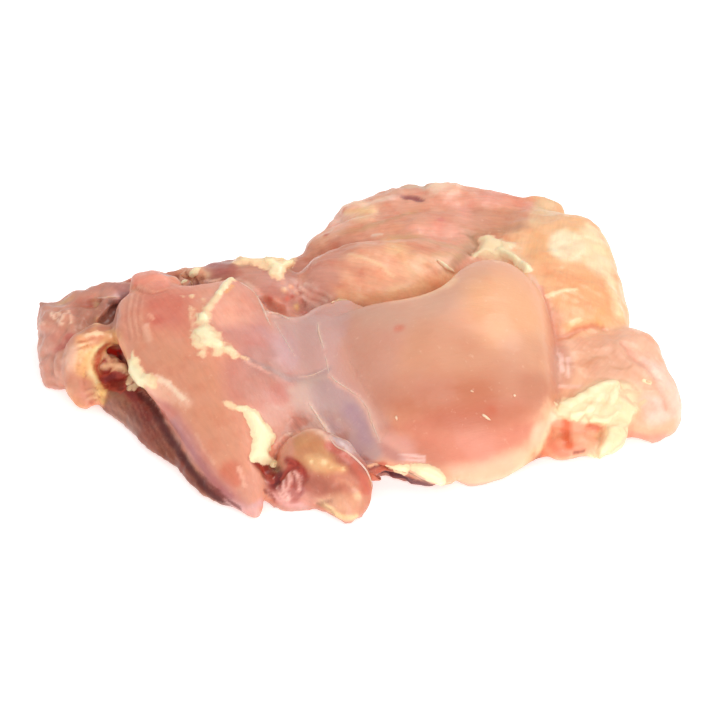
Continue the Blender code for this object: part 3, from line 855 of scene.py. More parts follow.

# The dark layer below the left muscle, brownish, its darkness partly painted shade from the muscle over
# it, with blood and painted shade where the muscle covers it
UNDER_LAYER = {
    # darker than its tissue: partly painted shade from the muscle over it
    "layer": fill([(104, 388), (126, 392), (150, 406), (172, 440), (200, 478), (245, 512), (190, 486),
        (146, 452), (125, 422), (98, 408)], (138, 70, 54), 0.9, 0.0, 0.7),
    "pale stripe": stroke([(106, 398), (120, 412), (134, 430), (152, 452)], 2.4, (176, 124, 106), 0.7,
        soft=1.0),
    # blood colour with painted shade, under the muscle's edge
    "blood and shade beside the muscle": stroke([(128, 392), (140, 402), (152, 418)], 2.2, (142, 44, 30), 0.8, 0.0,
        0.8),
    "tan rim": stroke([(110, 395), (120, 396), (128, 404)], 1.2, (160, 110, 80), 0.6),
    "fibres": [mark for column in (106, 111, 117, 122, 128, 134, 139, 145, 151, 157) for mark in
        (stroke([(column, 402), (column + 12, 430), (column + 32, 460)], 0.35, (176, 116, 92), 0.35, 0.06,
        soft=1.0), stroke([(column + 3, 402), (column + 15, 430), (column + 35, 460)], 0.35,
        (112, 54, 42), 0.35, -0.08, soft=1.0))],
}

# The left muscle: a film-covered left rim, red where it is bruised, pink to the right
LEFT_MUSCLE = {
    "flap": fill([(130, 278), (156, 273), (170, 276), (168, 289), (154, 291), (138, 287)],
        (232, 146, 124), 0.8),
    "flap's grey end": stroke([(160, 275), (170, 275)], 1.2, (170, 140, 144), 0.8),
    "flap's shine": fill([(130, 276), (142, 273), (160, 274), (170, 284), (160, 290), (146, 289),
        (136, 284)], (246, 170, 152), 0.85, 0.5, 0.9, soft=2),
    # painted shade under the flap's lower edge, over a real groove
    "flap's lower edge": stroke([(136, 286), (140, 290), (147, 293), (156, 293), (166, 291)], 0.5,
        (206, 108, 88), 0.6, -0.5, soft=1.0),
    # painted shade in the notches beside the flap
    "notch right of the flap": stroke([(176, 276), (178, 281)], 0.8, (136, 60, 46), 0.9, -0.4),
    "notch left of the flap": stroke([(130, 282), (136, 284)], 0.5, (176, 60, 46), 0.8, -0.2),
    # painted highlight along the flap's lower edge
    "pale line under the flap": stroke([(138, 286), (146, 290), (155, 292), (166, 290)], 0.5,
        (250, 190, 164), 0.8, 0.2),
    "rim": stroke([(128, 291), (121, 298), (117, 310), (116, 322), (117, 334)], 2.6, (188, 142, 142),
        0.85, 0.0, 0.8, 1.0),
    "rim's orange foot": stroke([(119, 334), (123, 349), (129, 364)], 1.6, (240, 184, 148), 0.8,
        soft=0.9),
    "edge": stroke([(116, 312), (116, 326), (118, 338), (121, 350), (127, 364)], 0.45, (244, 190, 174),
        0.9, 0.15),
    "fibres": [mark for column in (129, 135, 141) for mark in (stroke([(column, 294), (column - 3, 315),
        (column + 1, 340)], 0.5, (206, 124, 100), 0.45, -0.05), stroke([(column + 3, 294), (column, 315),
        (column + 4, 336)], 0.4, (242, 180, 152), 0.45, 0.04))],
    "red zone": fill([(145, 294), (166, 290), (188, 292), (190, 322), (176, 330), (150, 324)],
        (220, 122, 104), 0.8, soft=14, ragged=4),
    "bruise": dab((157, 320), 2.2, (216, 104, 86), 0.7),
    # painted highlights on the muscle: a pale oval and a pale spot
    "pale oval": stroke([(146, 326), (148, 333), (150, 340)], 1.1, (250, 192, 166), 0.85, 0.15),
    "pale spot": stroke([(149, 314), (153, 319)], 0.6, (248, 180, 152), 0.8, 0.1),
    "middle": fill([(133, 350), (165, 340), (200, 356), (225, 380), (240, 420), (245, 455), (235, 480),
        (215, 470), (190, 430), (165, 400)], (217, 148, 116), 0.75, soft=16),
    "right part": fill([(215, 300), (238, 284), (256, 300), (275, 330), (292, 350), (300, 372),
        (296, 400), (280, 425), (268, 420), (250, 404), (228, 400), (222, 370), (232, 352), (215, 330)],
        (210, 142, 134), 0.8, soft=12),
    "pink top": fill([(206, 292), (236, 286), (250, 296), (258, 316), (244, 326), (222, 322), (208, 308)],
        (240, 170, 146), 0.75, soft=9),
    "lilac right edge": stroke([(264, 330), (278, 350), (276, 372)], 2.6, (204, 150, 146), 0.6, soft=1.0),
    "white right edge": stroke([(238, 281), (247, 286), (256, 294), (262, 305)], 1.3, (246, 214, 200),
        0.9, 0.2, 0.9, soft=0.9),
    # the membrane's pale colour, made paler still as painted light against the shade in the crease by the
    # hood
    "membrane": fill([(262, 412), (280, 402), (300, 400), (314, 412), (324, 428), (308, 434), (290, 436),
        (276, 444), (264, 430)], (222, 172, 156), 0.8, soft=6),
    "membrane's fold": stroke([(275, 447), (281, 441), (289, 435)], 0.7, (250, 214, 190), 0.9, 0.25),
    # paler: painted light against the shade in the crease
    "membrane's lower edge": stroke([(288, 440), (298, 434), (309, 430), (320, 432), (330, 440)], 1.5,
        (250, 206, 184), 0.8, soft=1.0),
    "membrane's pink start": stroke([(244, 392), (258, 398), (270, 408)], 3.4, (220, 160, 144), 0.6,
        soft=1.0),
    "fine pale line": stroke([(190, 309), (192, 321), (195, 333)], 0.5, (246, 182, 158), 0.6, 0.1),
    "pale line near the point": stroke([(196, 435), (204, 450), (214, 463)], 0.6, (240, 182, 152), 0.6),
    "point": fill([(222, 490), (236, 478), (256, 470), (266, 484), (266, 504), (254, 512), (238, 506)],
        (222, 156, 134), 0.7, soft=5),
    "point's grey rim": stroke([(236, 506), (250, 508), (264, 502)], 1.4, (222, 172, 172), 0.8, soft=1.0),
    "red above the point": fill([(222, 464), (238, 462), (243, 478), (234, 488), (222, 480)],
        (218, 118, 92), 0.7),
    # painted highlight along the point
    "pale line on the point": stroke([(239, 468), (245, 486)], 0.6, (246, 186, 160), 0.8, 0.12),
    "rolled edge": fill([(156, 399), (169, 420), (179, 438), (191, 457), (204, 476), (219, 493),
        (236, 507), (250, 514), (243, 500), (230, 486), (217, 471), (206, 455), (195, 437), (183, 419),
        (170, 403)], (198, 130, 124), 0.8, 0.0, 0.7, soft=6),
    "rolled edge's shade": stroke([(165, 410), (178, 430), (190, 449), (203, 468), (216, 484),
        (230, 498)], 1.4, (176, 104, 106), 0.85, 0.0, 0.7, soft=0.9),
    "rolled edge's pale end": stroke([(228, 503), (242, 510), (257, 515)], 1.6, (226, 172, 168), 0.9),
    "edge below the strip": fill([(138, 390), (150, 394), (164, 404), (176, 412), (168, 420), (156, 410),
        (144, 398)], (214, 130, 112), 0.8, soft=3),
    # painted highlight along the muscle's edge below the strip
    "pale line below the strip": stroke([(142, 392), (154, 402), (165, 412)], 0.6, (248, 196, 176), 0.85,
        0.2),
    "shade above the film line": fill([(250, 348), (300, 348), (306, 372), (282, 384), (250, 374)],
        (186, 136, 130), 0.55, soft=9),
    "shade below the film line": fill([(238, 378), (286, 380), (282, 396), (244, 396)], (206, 146, 134),
        0.5, soft=8),
    "light spot near the top": fill([(212, 304), (232, 300), (236, 322), (216, 326)], (254, 184, 160),
        0.6, soft=6),
    "film line": stroke([(244, 357), (257, 362), (270, 368), (280, 374), (290, 380)], 0.7,
        (176, 132, 130), 0.7),
    "film line's pale side": stroke([(246, 361), (258, 367), (270, 373)], 0.6, (240, 184, 172), 0.6),
}

# The large muscle: pale tan at its top with painted light, greyer on its left slope with a painted sheen,
# redder below, and paler along its bottom and right edge with painted light
DOME = {
    # greyer: partly a painted sheen on the slope
    "left slope": fill([(330, 306), (360, 302), (395, 306), (410, 320), (404, 350), (396, 380),
        (388, 410), (380, 430), (366, 398), (345, 382), (336, 350)], (212, 152, 132), 0.8, soft=14),
    "grey sheen": fill([(352, 306), (400, 306), (440, 292), (478, 268), (490, 276), (460, 304),
        (430, 326), (390, 326), (360, 322)], (212, 164, 140), 0.7, soft=12),
    "middle": fill([(410, 330), (450, 324), (490, 340), (530, 366), (540, 396), (500, 402), (440, 400),
        (404, 390)], (208, 144, 112), 0.75, soft=16),
    "lower middle": fill([(384, 392), (420, 382), (470, 376), (520, 374), (544, 386), (545, 406),
        (520, 420), (470, 430), (420, 424), (392, 412)], (192, 108, 76), 0.75, soft=16),
    # painted light on the top, where the key light falls
    "top": fill([(470, 282), (500, 272), (528, 282), (544, 306), (550, 340), (546, 372), (520, 360),
        (490, 340), (468, 312)], (238, 174, 126), 0.75, soft=16),
    "shoulder": fill([(500, 345), (530, 335), (548, 345), (550, 372), (545, 398), (520, 406), (498, 398)],
        (208, 148, 120), 0.7, soft=14),
    "tan band": stroke([(385, 392), (410, 385), (440, 392)], 6.0, (210, 146, 122), 0.6, soft=1.0),
    "red band": fill([(385, 428), (410, 420), (440, 412), (470, 408), (495, 405), (500, 416), (480, 426),
        (440, 430), (400, 434)], (208, 120, 98), 0.65, soft=10),
    "low part": fill([(392, 440), (430, 430), (480, 428), (520, 420), (540, 424), (520, 450), (500, 468),
        (450, 478), (420, 462)], (216, 128, 106), 0.75, soft=12),
    # painted light: the pale glow low on the muscle, lit from below
    "pale low part": fill([(440, 468), (480, 462), (514, 450), (524, 456), (510, 472), (480, 482),
        (450, 486), (432, 478)], (250, 196, 162), 0.75, soft=8),
    "pink corner": fill([(372, 438), (392, 434), (412, 442), (414, 460), (396, 462), (378, 452)],
        (240, 178, 166), 0.65, soft=7),
    "tan lower right": stroke([(500, 410), (520, 404), (545, 398)], 3.4, (210, 142, 118), 0.6, soft=1.0),
    "red spot": dab((492, 411), 1.8, (204, 92, 62), 0.7),
    "red spot on the left": dab((400, 328), 1.6, (216, 118, 92), 0.75),
    # painted light along the bottom edge, lit from below
    "bottom": stroke([(448, 486), (476, 484), (504, 478), (524, 466)], 2.2, (250, 206, 174), 0.7,
        soft=1.0),
    # painted light along the right edge
    "right edge": stroke([(550, 414), (544, 428), (536, 446), (522, 464)], 4.2, (248, 200, 162), 0.8,
        soft=1.0),
    "red middle": fill([(440, 406), (500, 402), (526, 406), (516, 424), (470, 430), (436, 426)],
        (196, 112, 82), 0.6, soft=12),
    "brown right side": fill([(520, 376), (546, 376), (544, 398), (524, 402)], (196, 128, 100), 0.7,
        soft=8),
    # painted light on the pale right corner
    "pale right corner": fill([(536, 426), (564, 424), (568, 444), (536, 450)], (252, 206, 176), 0.85,
        soft=5),
    "right edge's light": stroke([(553, 416), (547, 432), (538, 450)], 1.4, (254, 228, 196), 0.85, 0.1,
        soft=1.0),
    # painted highlights: two pale lines low on the muscle
    "pale highlight lines": [stroke([(399, row), (411, row + 1), (424, row + 2)], 0.55, (252, 212, 204), 0.8, 0.12,
        0.9) for row in (455, 459)],
    "crease": stroke([(541, 287), (548, 306), (552, 322), (556, 338), (557, 356)], 1.0, (232, 144, 122),
        0.7, -0.25),
    "light beside the crease": stroke([(530, 275), (538, 287), (545, 302), (550, 318)], 0.8,
        (250, 200, 176), 0.7, 0.1),
    "seam's side": fill([(545, 300), (554, 304), (562, 316), (566, 340), (562, 366), (554, 384),
        (550, 360)], (214, 140, 110), 0.7, soft=6),
}

# The pale lines in and round the film: each a path in pixels, the thread's half width and height in
# millimetres, and how pale the film is beside it
FILM_LINES = (
    ([(238, 281), (246, 286), (254, 292), (261, 304), (267, 318), (271, 326)], 0.30, 0.22, 0.9),
    ([(267, 313), (273, 313), (280, 315), (291, 320)], 0.38, 0.30, 0.6),
    ([(274, 321), (281, 333), (287, 343), (295, 356)], 0.10, 0.08, 0.7),
    ([(318, 323), (319, 333), (324, 349)], 0.22, 0.16, 0.8),
    ([(325, 354), (327, 364), (329, 373)], 0.12, 0.10, 0.8),
    ([(329, 374), (336, 381), (348, 389), (358, 396)], 0.16, 0.12, 0.9),
    ([(358, 396), (367, 408), (371, 420), (375, 430), (380, 442)], 0.15, 0.1, 0.9),
    ([(300, 376), (308, 376), (317, 373), (327, 368)], 0.12, 0.10, 0.6),
    ([(308, 403), (314, 411), (321, 422), (326, 430), (330, 437)], 0.26, 0.20, 0.9),
    ([(329, 437), (336, 446), (347, 452), (358, 461), (366, 470), (371, 481), (372, 488)],
     0.22, 0.2, 0.3),
    ([(330, 436), (335, 433), (344, 435), (352, 442), (361, 451), (367, 461)], 0.12, 0.10, 0.9),
)

# The translucent film over the valley, lilac where it is thin, with pale lines
FILM = {
    "seam beside the film": fill([(262, 282), (282, 278), (300, 282), (304, 296), (296, 306), (284, 306),
        (270, 298)], (230, 172, 152), 0.5, soft=8),
    "behind the edge": stroke([(264, 304), (272, 309), (284, 314), (296, 314), (308, 307), (322, 299)],
        2.0, (226, 152, 134), 0.75, -1.3, 0.8, soft=1.0),
    "upper edge": stroke([(267, 314), (280, 318), (292, 321), (305, 317), (318, 309), (332, 303),
        (350, 301)], 1.0, (222, 178, 166), 0.8, 0.5),
    "upper part": fill([(270, 316), (290, 320), (312, 318), (330, 305), (350, 303), (346, 330),
        (336, 352), (330, 374), (312, 384), (295, 376), (284, 352), (274, 332)], (212, 164, 154), 0.85,
        soft=6),
    "lilac patch": fill([(274, 335), (290, 334), (298, 352), (296, 368), (284, 368), (276, 352)],
        (216, 170, 170), 0.75, soft=6),
    # darker: painted shade in the crease
    "crease": stroke([(268, 367), (280, 374), (292, 378), (306, 377), (320, 373), (328, 369)], 1.3,
        (186, 148, 144), 0.8, -0.2, soft=1.0),
    "grey below the crease": fill([(296, 380), (326, 375), (330, 384), (316, 392), (302, 388)],
        (200, 168, 156), 0.8),
    "white zone": fill([(288, 388), (304, 385), (316, 396), (324, 414), (316, 422), (304, 412),
        (292, 402)], (218, 180, 166), 0.85, soft=5),
    "lower part": fill([(312, 388), (330, 380), (350, 394), (362, 408), (370, 424), (378, 440),
        (384, 454), (366, 466), (352, 450), (336, 440), (326, 430), (316, 410)], (194, 156, 152), 0.95,
        soft=6),
    "lower part's light side": stroke([(316, 394), (328, 406), (340, 424)], 2.6, (204, 168, 160), 0.6,
        soft=1.0),
    "lower part's lilac side": stroke([(350, 410), (360, 424), (366, 440)], 2.8, (174, 136, 148), 0.7,
        soft=1.0),
    "lower part's middle": stroke([(330, 420), (344, 440), (358, 452)], 1.6, (190, 146, 154), 0.6,
        soft=1.0),
    "fine lines": [stroke([(start, low), (start + 10, low + 7), (start + 20, low + 16)], 0.4,
        (204, 168, 170), 0.25, 0.03, soft=1.0) for start, low in zip(range(334, 363, 7), range(400, 441,
        10))],
    "low edge": stroke([(350, 453), (360, 460), (370, 463), (376, 460)], 1.2, (216, 178, 184), 0.75, 0.1,
        0.9),
    "folded edge": fill([(331, 438), (338, 436), (348, 442), (358, 452), (366, 462), (358, 460),
        (346, 451), (336, 445)], (206, 180, 180), 0.85, 0.15, 0.9, soft=2),
    "corner": fill([(380, 442), (388, 446), (398, 452), (404, 460), (396, 462), (384, 456)],
        (202, 138, 128), 0.8),
    "beds of the threads": [stroke(line, width * 3.0, (230, 186, 172), paleness, height * 0.7, soft=1.0)
        for line, width, height, paleness in FILM_LINES],
    "pink bed on the right": stroke([(330, 376), (340, 386), (350, 391), (358, 397)], 0.7,
        (234, 176, 158), 0.85, 0.1, soft=1.0),
    "wide bed on the right": stroke([(359, 398), (367, 408), (372, 420), (376, 434)], 1.2,
        (228, 178, 158), 0.75, 0.1, soft=1.0),
    "grey bed on the left": stroke([(284, 326), (290, 340), (297, 354)], 0.7, (206, 158, 152), 0.6,
        soft=1.0),
    "bed above the hood": stroke([(309, 404), (318, 418), (330, 436)], 0.9, (230, 188, 170), 0.7,
        soft=1.0),
}

# The hood: olive and shiny on top, pink along the film, red between its folds, pale below
FRONT = {
    "hood": fill([(284, 447), (295, 435), (309, 431), (321, 437), (332, 447), (344, 456), (350, 466),
        (340, 474), (320, 473), (304, 469), (292, 459)], (208, 144, 102), 0.9, soft=5),
    "hood's red side": fill([(328, 446), (340, 450), (356, 464), (362, 482), (350, 476), (336, 464)],
        (174, 92, 78), 0.85),
    "hood's tan top": stroke([(300, 442), (314, 446), (328, 456)], 2.4, (208, 148, 100), 0.6, soft=1.0),
    # painted highlight in the hood's middle
    "hood's pale middle": fill([(304, 456), (318, 456), (334, 464), (346, 470), (338, 476), (320, 474)],
        (240, 188, 136), 0.75, 0.1, 0.9),
    "glints": [dab(glint, width, (255, 226, 176), 0.85, 0.12, 1.0) for glint, width in (((324, 463), 1.1),
        ((342, 470), 0.7), ((311, 462), 0.6), ((332, 468), 0.5))],
    "hood's upper edge": stroke([(296, 434), (309, 431), (322, 438), (330, 446)], 1.0, (226, 158, 132),
        0.6),
    "hood's edge along the film": stroke([(330, 446), (340, 452), (352, 461), (360, 470), (364, 480),
        (364, 490)], 1.6, (206, 108, 90), 0.85),
    "fold on the left": fill([(274, 446), (288, 436), (294, 446), (292, 456), (282, 460)],
        (222, 152, 130), 0.8, soft=3),
    "shade": fill([(302, 473), (314, 476), (328, 481), (336, 488), (326, 496), (312, 492), (303, 484)],
        (172, 94, 78), 0.8, -0.1, soft=7),
    "pink right part": fill([(330, 474), (348, 474), (358, 482), (360, 492), (346, 494), (334, 486)],
        (216, 146, 126), 0.85, soft=5),
    "pale line on the right": stroke([(338, 480), (350, 484), (358, 492)], 0.8, (244, 182, 154), 0.6,
        0.1),
    "foot": fill([(320, 500), (336, 494), (352, 492), (364, 498), (364, 508), (356, 517), (344, 520),
        (330, 512)], (224, 168, 140), 0.9, soft=5),
    "foot's pale rim": stroke([(316, 500), (328, 508), (338, 516), (347, 519), (356, 517)], 1.0,
        (250, 214, 166), 0.9, 0.1),
    # painted highlight on the foot
    "foot's pale spot": dab((358, 496), 1.3, (254, 220, 184), 0.85, 0.15),
    # painted shade in the nick
    "dark nick": stroke([(318, 504), (323, 503), (330, 501)], 0.7, (150, 84, 66), 0.7, -0.4, soft=1.0),
    "small lobe": fill([(266, 486), (276, 478), (292, 478), (304, 486), (316, 496), (318, 502),
        (304, 508), (288, 508), (274, 500)], (180, 96, 86), 0.9),
    "small lobe's pale rim": stroke([(274, 496), (288, 504), (306, 506)], 1.4, (232, 176, 170), 0.85,
        soft=1.0),
    "small lobe's right end": fill([(306, 492), (316, 496), (318, 503), (308, 508), (300, 500)],
        (224, 160, 140), 0.7, soft=3),
    "blood beside the hood": stroke([(286, 459), (294, 462), (301, 469), (304, 478)], 1.3, (160, 40, 32),
        0.9, -0.5, 0.9, soft=0.9),
    "blood in the fold": stroke([(294, 465), (287, 470), (280, 476), (275, 482)], 1.1, (142, 28, 24), 0.9,
        -0.5, 0.9, soft=0.9),
    # blood colour with painted shade, in the crease beside the muscle
    "blood and shade beside the muscle": stroke([(255, 459), (264, 468), (269, 477), (274, 484)], 1.6,
        (124, 24, 22), 0.9, -0.5, 0.9, soft=0.9),
    "blood between them": stroke([(268, 470), (275, 476), (282, 478)], 1.2, (150, 36, 34), 0.85, -0.3,
        0.9),
    "bloody creases": [draw("blood", crease, 0.5, -0.4, 0.3) for crease in ([(289, 462), (295, 465),
        (299, 471)], [(264, 468), (268, 474), (270, 481)], [(288, 470), (281, 476)])],
    # blood red with painted shade, in the hollow
    "hollow": fill([(266, 464), (278, 466), (284, 474), (276, 484), (268, 478)], (92, 16, 18), 0.85, -0.2,
        0.9, soft=3),
    "red round the strands": fill([(284, 458), (296, 462), (304, 472), (304, 484), (294, 474)],
        (166, 50, 40), 0.6),
    "strands": [stroke(strand, 0.6, (240, 184, 172), 0.9, 0.4, 0.9, soft=0.9) for strand in ([(289, 473),
        (290, 481), (287, 489)], [(295, 472), (299, 480), (299, 490)], [(283, 480), (284, 490),
        (290, 498)], [(278, 488), (282, 495), (288, 500)])],
    # darker: painted shade in the grooves between the strands
    "grooves": [stroke(groove, 0.5, (160, 72, 64), 0.85, -0.35, 0.9, soft=0.9) for groove in ([(293, 474),
        (295, 482), (293, 492)], [(302, 480), (303, 488), (300, 496)], [(280, 483), (279, 490)])],
    "red below the fat": fill([(250, 456), (264, 458), (276, 470), (272, 480), (258, 470)], (150, 50, 40),
        0.7, soft=3),
    # darker: painted shade in the crease on the small lobe
    "crease on the small lobe": stroke([(264, 490), (269, 494), (275, 500)], 0.5, (140, 58, 46), 0.7,
        -0.2),
    # darker: painted shadow in the crease on the foot
    "crease on the foot": stroke([(317, 503), (324, 507), (333, 514)], 0.4, (168, 112, 80), 0.6, -0.2),
    "soft shade": fill([(300, 476), (330, 474), (352, 482), (350, 492), (322, 492), (304, 486)],
        (186, 112, 94), 0.45, soft=7),
    "shade under the film": fill([(352, 454), (364, 458), (374, 470), (368, 476), (358, 466)],
        (176, 112, 104), 0.7, soft=3),
    "wet glint": dab((271, 476), 0.7, (255, 216, 206), 0.95, 0.3, 1.0),
    "red line on the right": stroke([(362, 480), (368, 486), (369, 492)], 0.8, (204, 110, 96), 0.7),
}

# The dark muscle behind the left one, with a red wet hollow and a speckled end
RIDGE = {
    "ridge": fill([(232, 266), (262, 268), (280, 282), (286, 300), (270, 300), (256, 288), (238, 278)],
        (210, 150, 134), 0.85),
    "purple left end": fill([(196, 264), (216, 260), (234, 264), (236, 272), (214, 276)], (182, 112, 106),
        0.8),
    # paler: painted light against the shade in the hollow
    "wet hollow": fill([(256, 288), (266, 294), (280, 300), (292, 306), (304, 314), (292, 316),
        (276, 312), (266, 306)], (246, 176, 150), 0.85, -0.2, 0.9),
    "spots": [dab(place, 1.0, colour, 0.85, 0.2) for place, colour in (((284, 290), (254, 214, 170)),
        ((291, 287), (246, 190, 150)), ((297, 292), (250, 214, 178)), ((287, 299), (226, 120, 96)),
        ((297, 306), (250, 214, 140)), ((304, 309), (206, 96, 78)), ((293, 297), (190, 90, 70)),
        ((301, 299), (206, 100, 80)), ((310, 296), (248, 200, 170)), ((315, 293), (250, 210, 186)),
        ((283, 283), (226, 150, 120)), ((278, 300), (250, 180, 150)), ((270, 298), (214, 104, 84)))],
    "pale end": fill([(298, 282), (322, 284), (336, 292), (334, 304), (316, 308), (300, 304)],
        (226, 168, 150), 0.85, soft=5),
    "red line": stroke([(297, 286), (302, 295), (305, 303)], 0.7, (176, 96, 76), 0.7, -0.2),
    "strands": [stroke(strand, 0.7, (250, 214, 196), 0.85, 0.3, soft=0.9) for strand in ([(300, 288),
        (312, 296), (326, 301)], [(306, 284), (318, 290), (332, 298)], [(303, 296), (310, 302),
        (318, 306)])],
}

# The muscles along the back: orange-pink and purple, with pale streaks of fat
ROLLS = {
    "left part": fill([(296, 262), (318, 246), (340, 248), (346, 262), (340, 286), (318, 292),
        (304, 280)], (214, 148, 130), 0.75, soft=8),
    "orange part": fill([(342, 258), (370, 250), (400, 256), (430, 268), (436, 284), (400, 298),
        (360, 298), (342, 280)], (250, 186, 148), 0.75, soft=8),
    "red band": stroke([(330, 262), (346, 266), (362, 274)], 2.4, (218, 140, 112), 0.7, soft=1.0),
    # painted light along the foot, against the shade where the roll meets the large muscle
    "pale foot": stroke([(345, 296), (372, 298), (400, 293), (428, 284)], 2.8, (254, 208, 168), 0.8,
        soft=1.0),
    "tan right foot": stroke([(420, 284), (440, 282), (456, 274)], 2.0, (228, 158, 110), 0.8, soft=1.0),
    "streaks": [stroke(streak, 0.6, (250, 204, 162), 0.85, 0.12) for streak in ([(349, 254), (365, 259),
        (382, 267), (393, 276)], [(393, 246), (403, 255), (406, 264), (415, 274)])],
    "stripe": stroke([(326, 236), (345, 232), (369, 227), (393, 218), (412, 212)], 1.8, (216, 164, 126),
        0.8, soft=0.9),
    "second stripe": stroke([(394, 239), (423, 239), (450, 246), (465, 250), (476, 242)], 2.4,
        (216, 166, 126), 0.8, soft=0.9),
    "purple line": stroke([(340, 246), (356, 244), (370, 243)], 1.2, (198, 130, 118), 0.7),
    # painted highlight on the pink part
    "pink part": fill([(406, 230), (420, 226), (440, 222), (456, 226), (462, 236), (440, 240),
        (420, 236)], (246, 176, 154), 0.8, 0.2, soft=5),
    "red spot": dab((441, 220), 1.4, (222, 128, 124), 0.7),
    "back's top": fill([(444, 196), (470, 191), (500, 191), (534, 200), (530, 216), (510, 226),
        (480, 226), (458, 214)], (238, 162, 142), 0.75, soft=7),
    # darker: partly painted shadow along the seam
    "brown seam": stroke([(470, 232), (492, 232), (520, 228)], 3.2, (192, 132, 96), 0.8, soft=1.0),
    "tan seam": stroke([(480, 210), (496, 212), (512, 212)], 2.6, (218, 146, 118), 0.6, soft=1.0),
    "purple left edge": stroke([(300, 252), (318, 242), (340, 240), (360, 243)], 1.8, (184, 112, 104),
        0.7, soft=1.0),
    "tan seam beside the fat": stroke([(446, 270), (456, 262), (464, 254), (472, 246)], 1.6,
        (196, 146, 116), 0.8, soft=1.0),
    "tan side": stroke([(424, 262), (440, 256), (456, 256)], 2.4, (218, 170, 124), 0.6, soft=1.0),
    "dark mark": stroke([(398, 196), (409, 198), (416, 198)], 1.0, (178, 98, 94), 0.85, -0.2),
    "pale line at the top": stroke([(406, 188), (418, 186), (432, 188)], 1.2, (212, 186, 164), 0.8),
    "pale tip": stroke([(436, 190), (442, 185)], 1.6, (250, 214, 186), 0.8),
    "pink line at the top": stroke([(372, 206), (385, 200), (396, 198)], 1.4, (240, 178, 156), 0.8),
    "pale left shoulder": stroke([(342, 222), (356, 213), (372, 208)], 2.4, (250, 208, 176), 0.75,
        soft=1.0),
    "left bump": fill([(342, 210), (354, 203), (370, 206), (378, 214), (368, 222), (350, 222)],
        (250, 204, 166), 0.85, 0.6, soft=3),
    "top bump": fill([(428, 186), (442, 180), (456, 182), (460, 190), (446, 196), (430, 194)],
        (252, 216, 190), 0.85, 0.5, soft=3),
    "bump between them": fill([(372, 196), (390, 190), (404, 192), (396, 200), (378, 206)],
        (232, 178, 156), 0.7, 0.4, soft=3),
    "dark mark's middle": stroke([(404, 197), (414, 197), (420, 200)], 1.2, (154, 84, 80), 0.85, -0.4),
    "light right part": fill([(404, 256), (436, 258), (450, 266), (444, 280), (408, 280)],
        (250, 200, 158), 0.6, soft=6),
    # painted light on the foot, against its shade
    "light foot": fill([(390, 286), (420, 282), (450, 272), (456, 282), (430, 294), (392, 300)],
        (255, 206, 158), 0.75),
    "pink top": fill([(440, 190), (470, 186), (480, 198), (450, 204)], (246, 186, 160), 0.6, soft=6),
    "pale rim": stroke([(332, 216), (346, 204), (366, 194), (388, 188)], 1.6, (254, 220, 204), 0.7,
        soft=1.0),
    "light patch": fill([(384, 240), (404, 244), (408, 256), (390, 256)], (254, 206, 164), 0.6, soft=5),
    "brown below the top": fill([(474, 208), (522, 210), (526, 228), (480, 234)], (206, 144, 110), 0.6,
        soft=7),
    "brown left part": fill([(330, 234), (352, 232), (356, 250), (336, 254)], (206, 136, 110), 0.6,
        soft=6),
    # painted light on the left edge, against its shade
    "light left edge": fill([(314, 232), (332, 214), (350, 204), (362, 212), (346, 228), (322, 246)],
        (250, 196, 174), 0.5, soft=6),
    "red spot on the left": dab((346, 213), 1.3, (222, 118, 88), 0.8),
    "red spot below it": dab((327, 236), 1.0, (206, 98, 88), 0.8),
    "pale line on the left": stroke([(348, 214), (362, 213), (374, 214)], 1.2, (252, 208, 160), 0.8),
    "short pale line": stroke([(372, 236), (382, 235)], 0.5, (238, 208, 186), 0.8, 0.15),
}

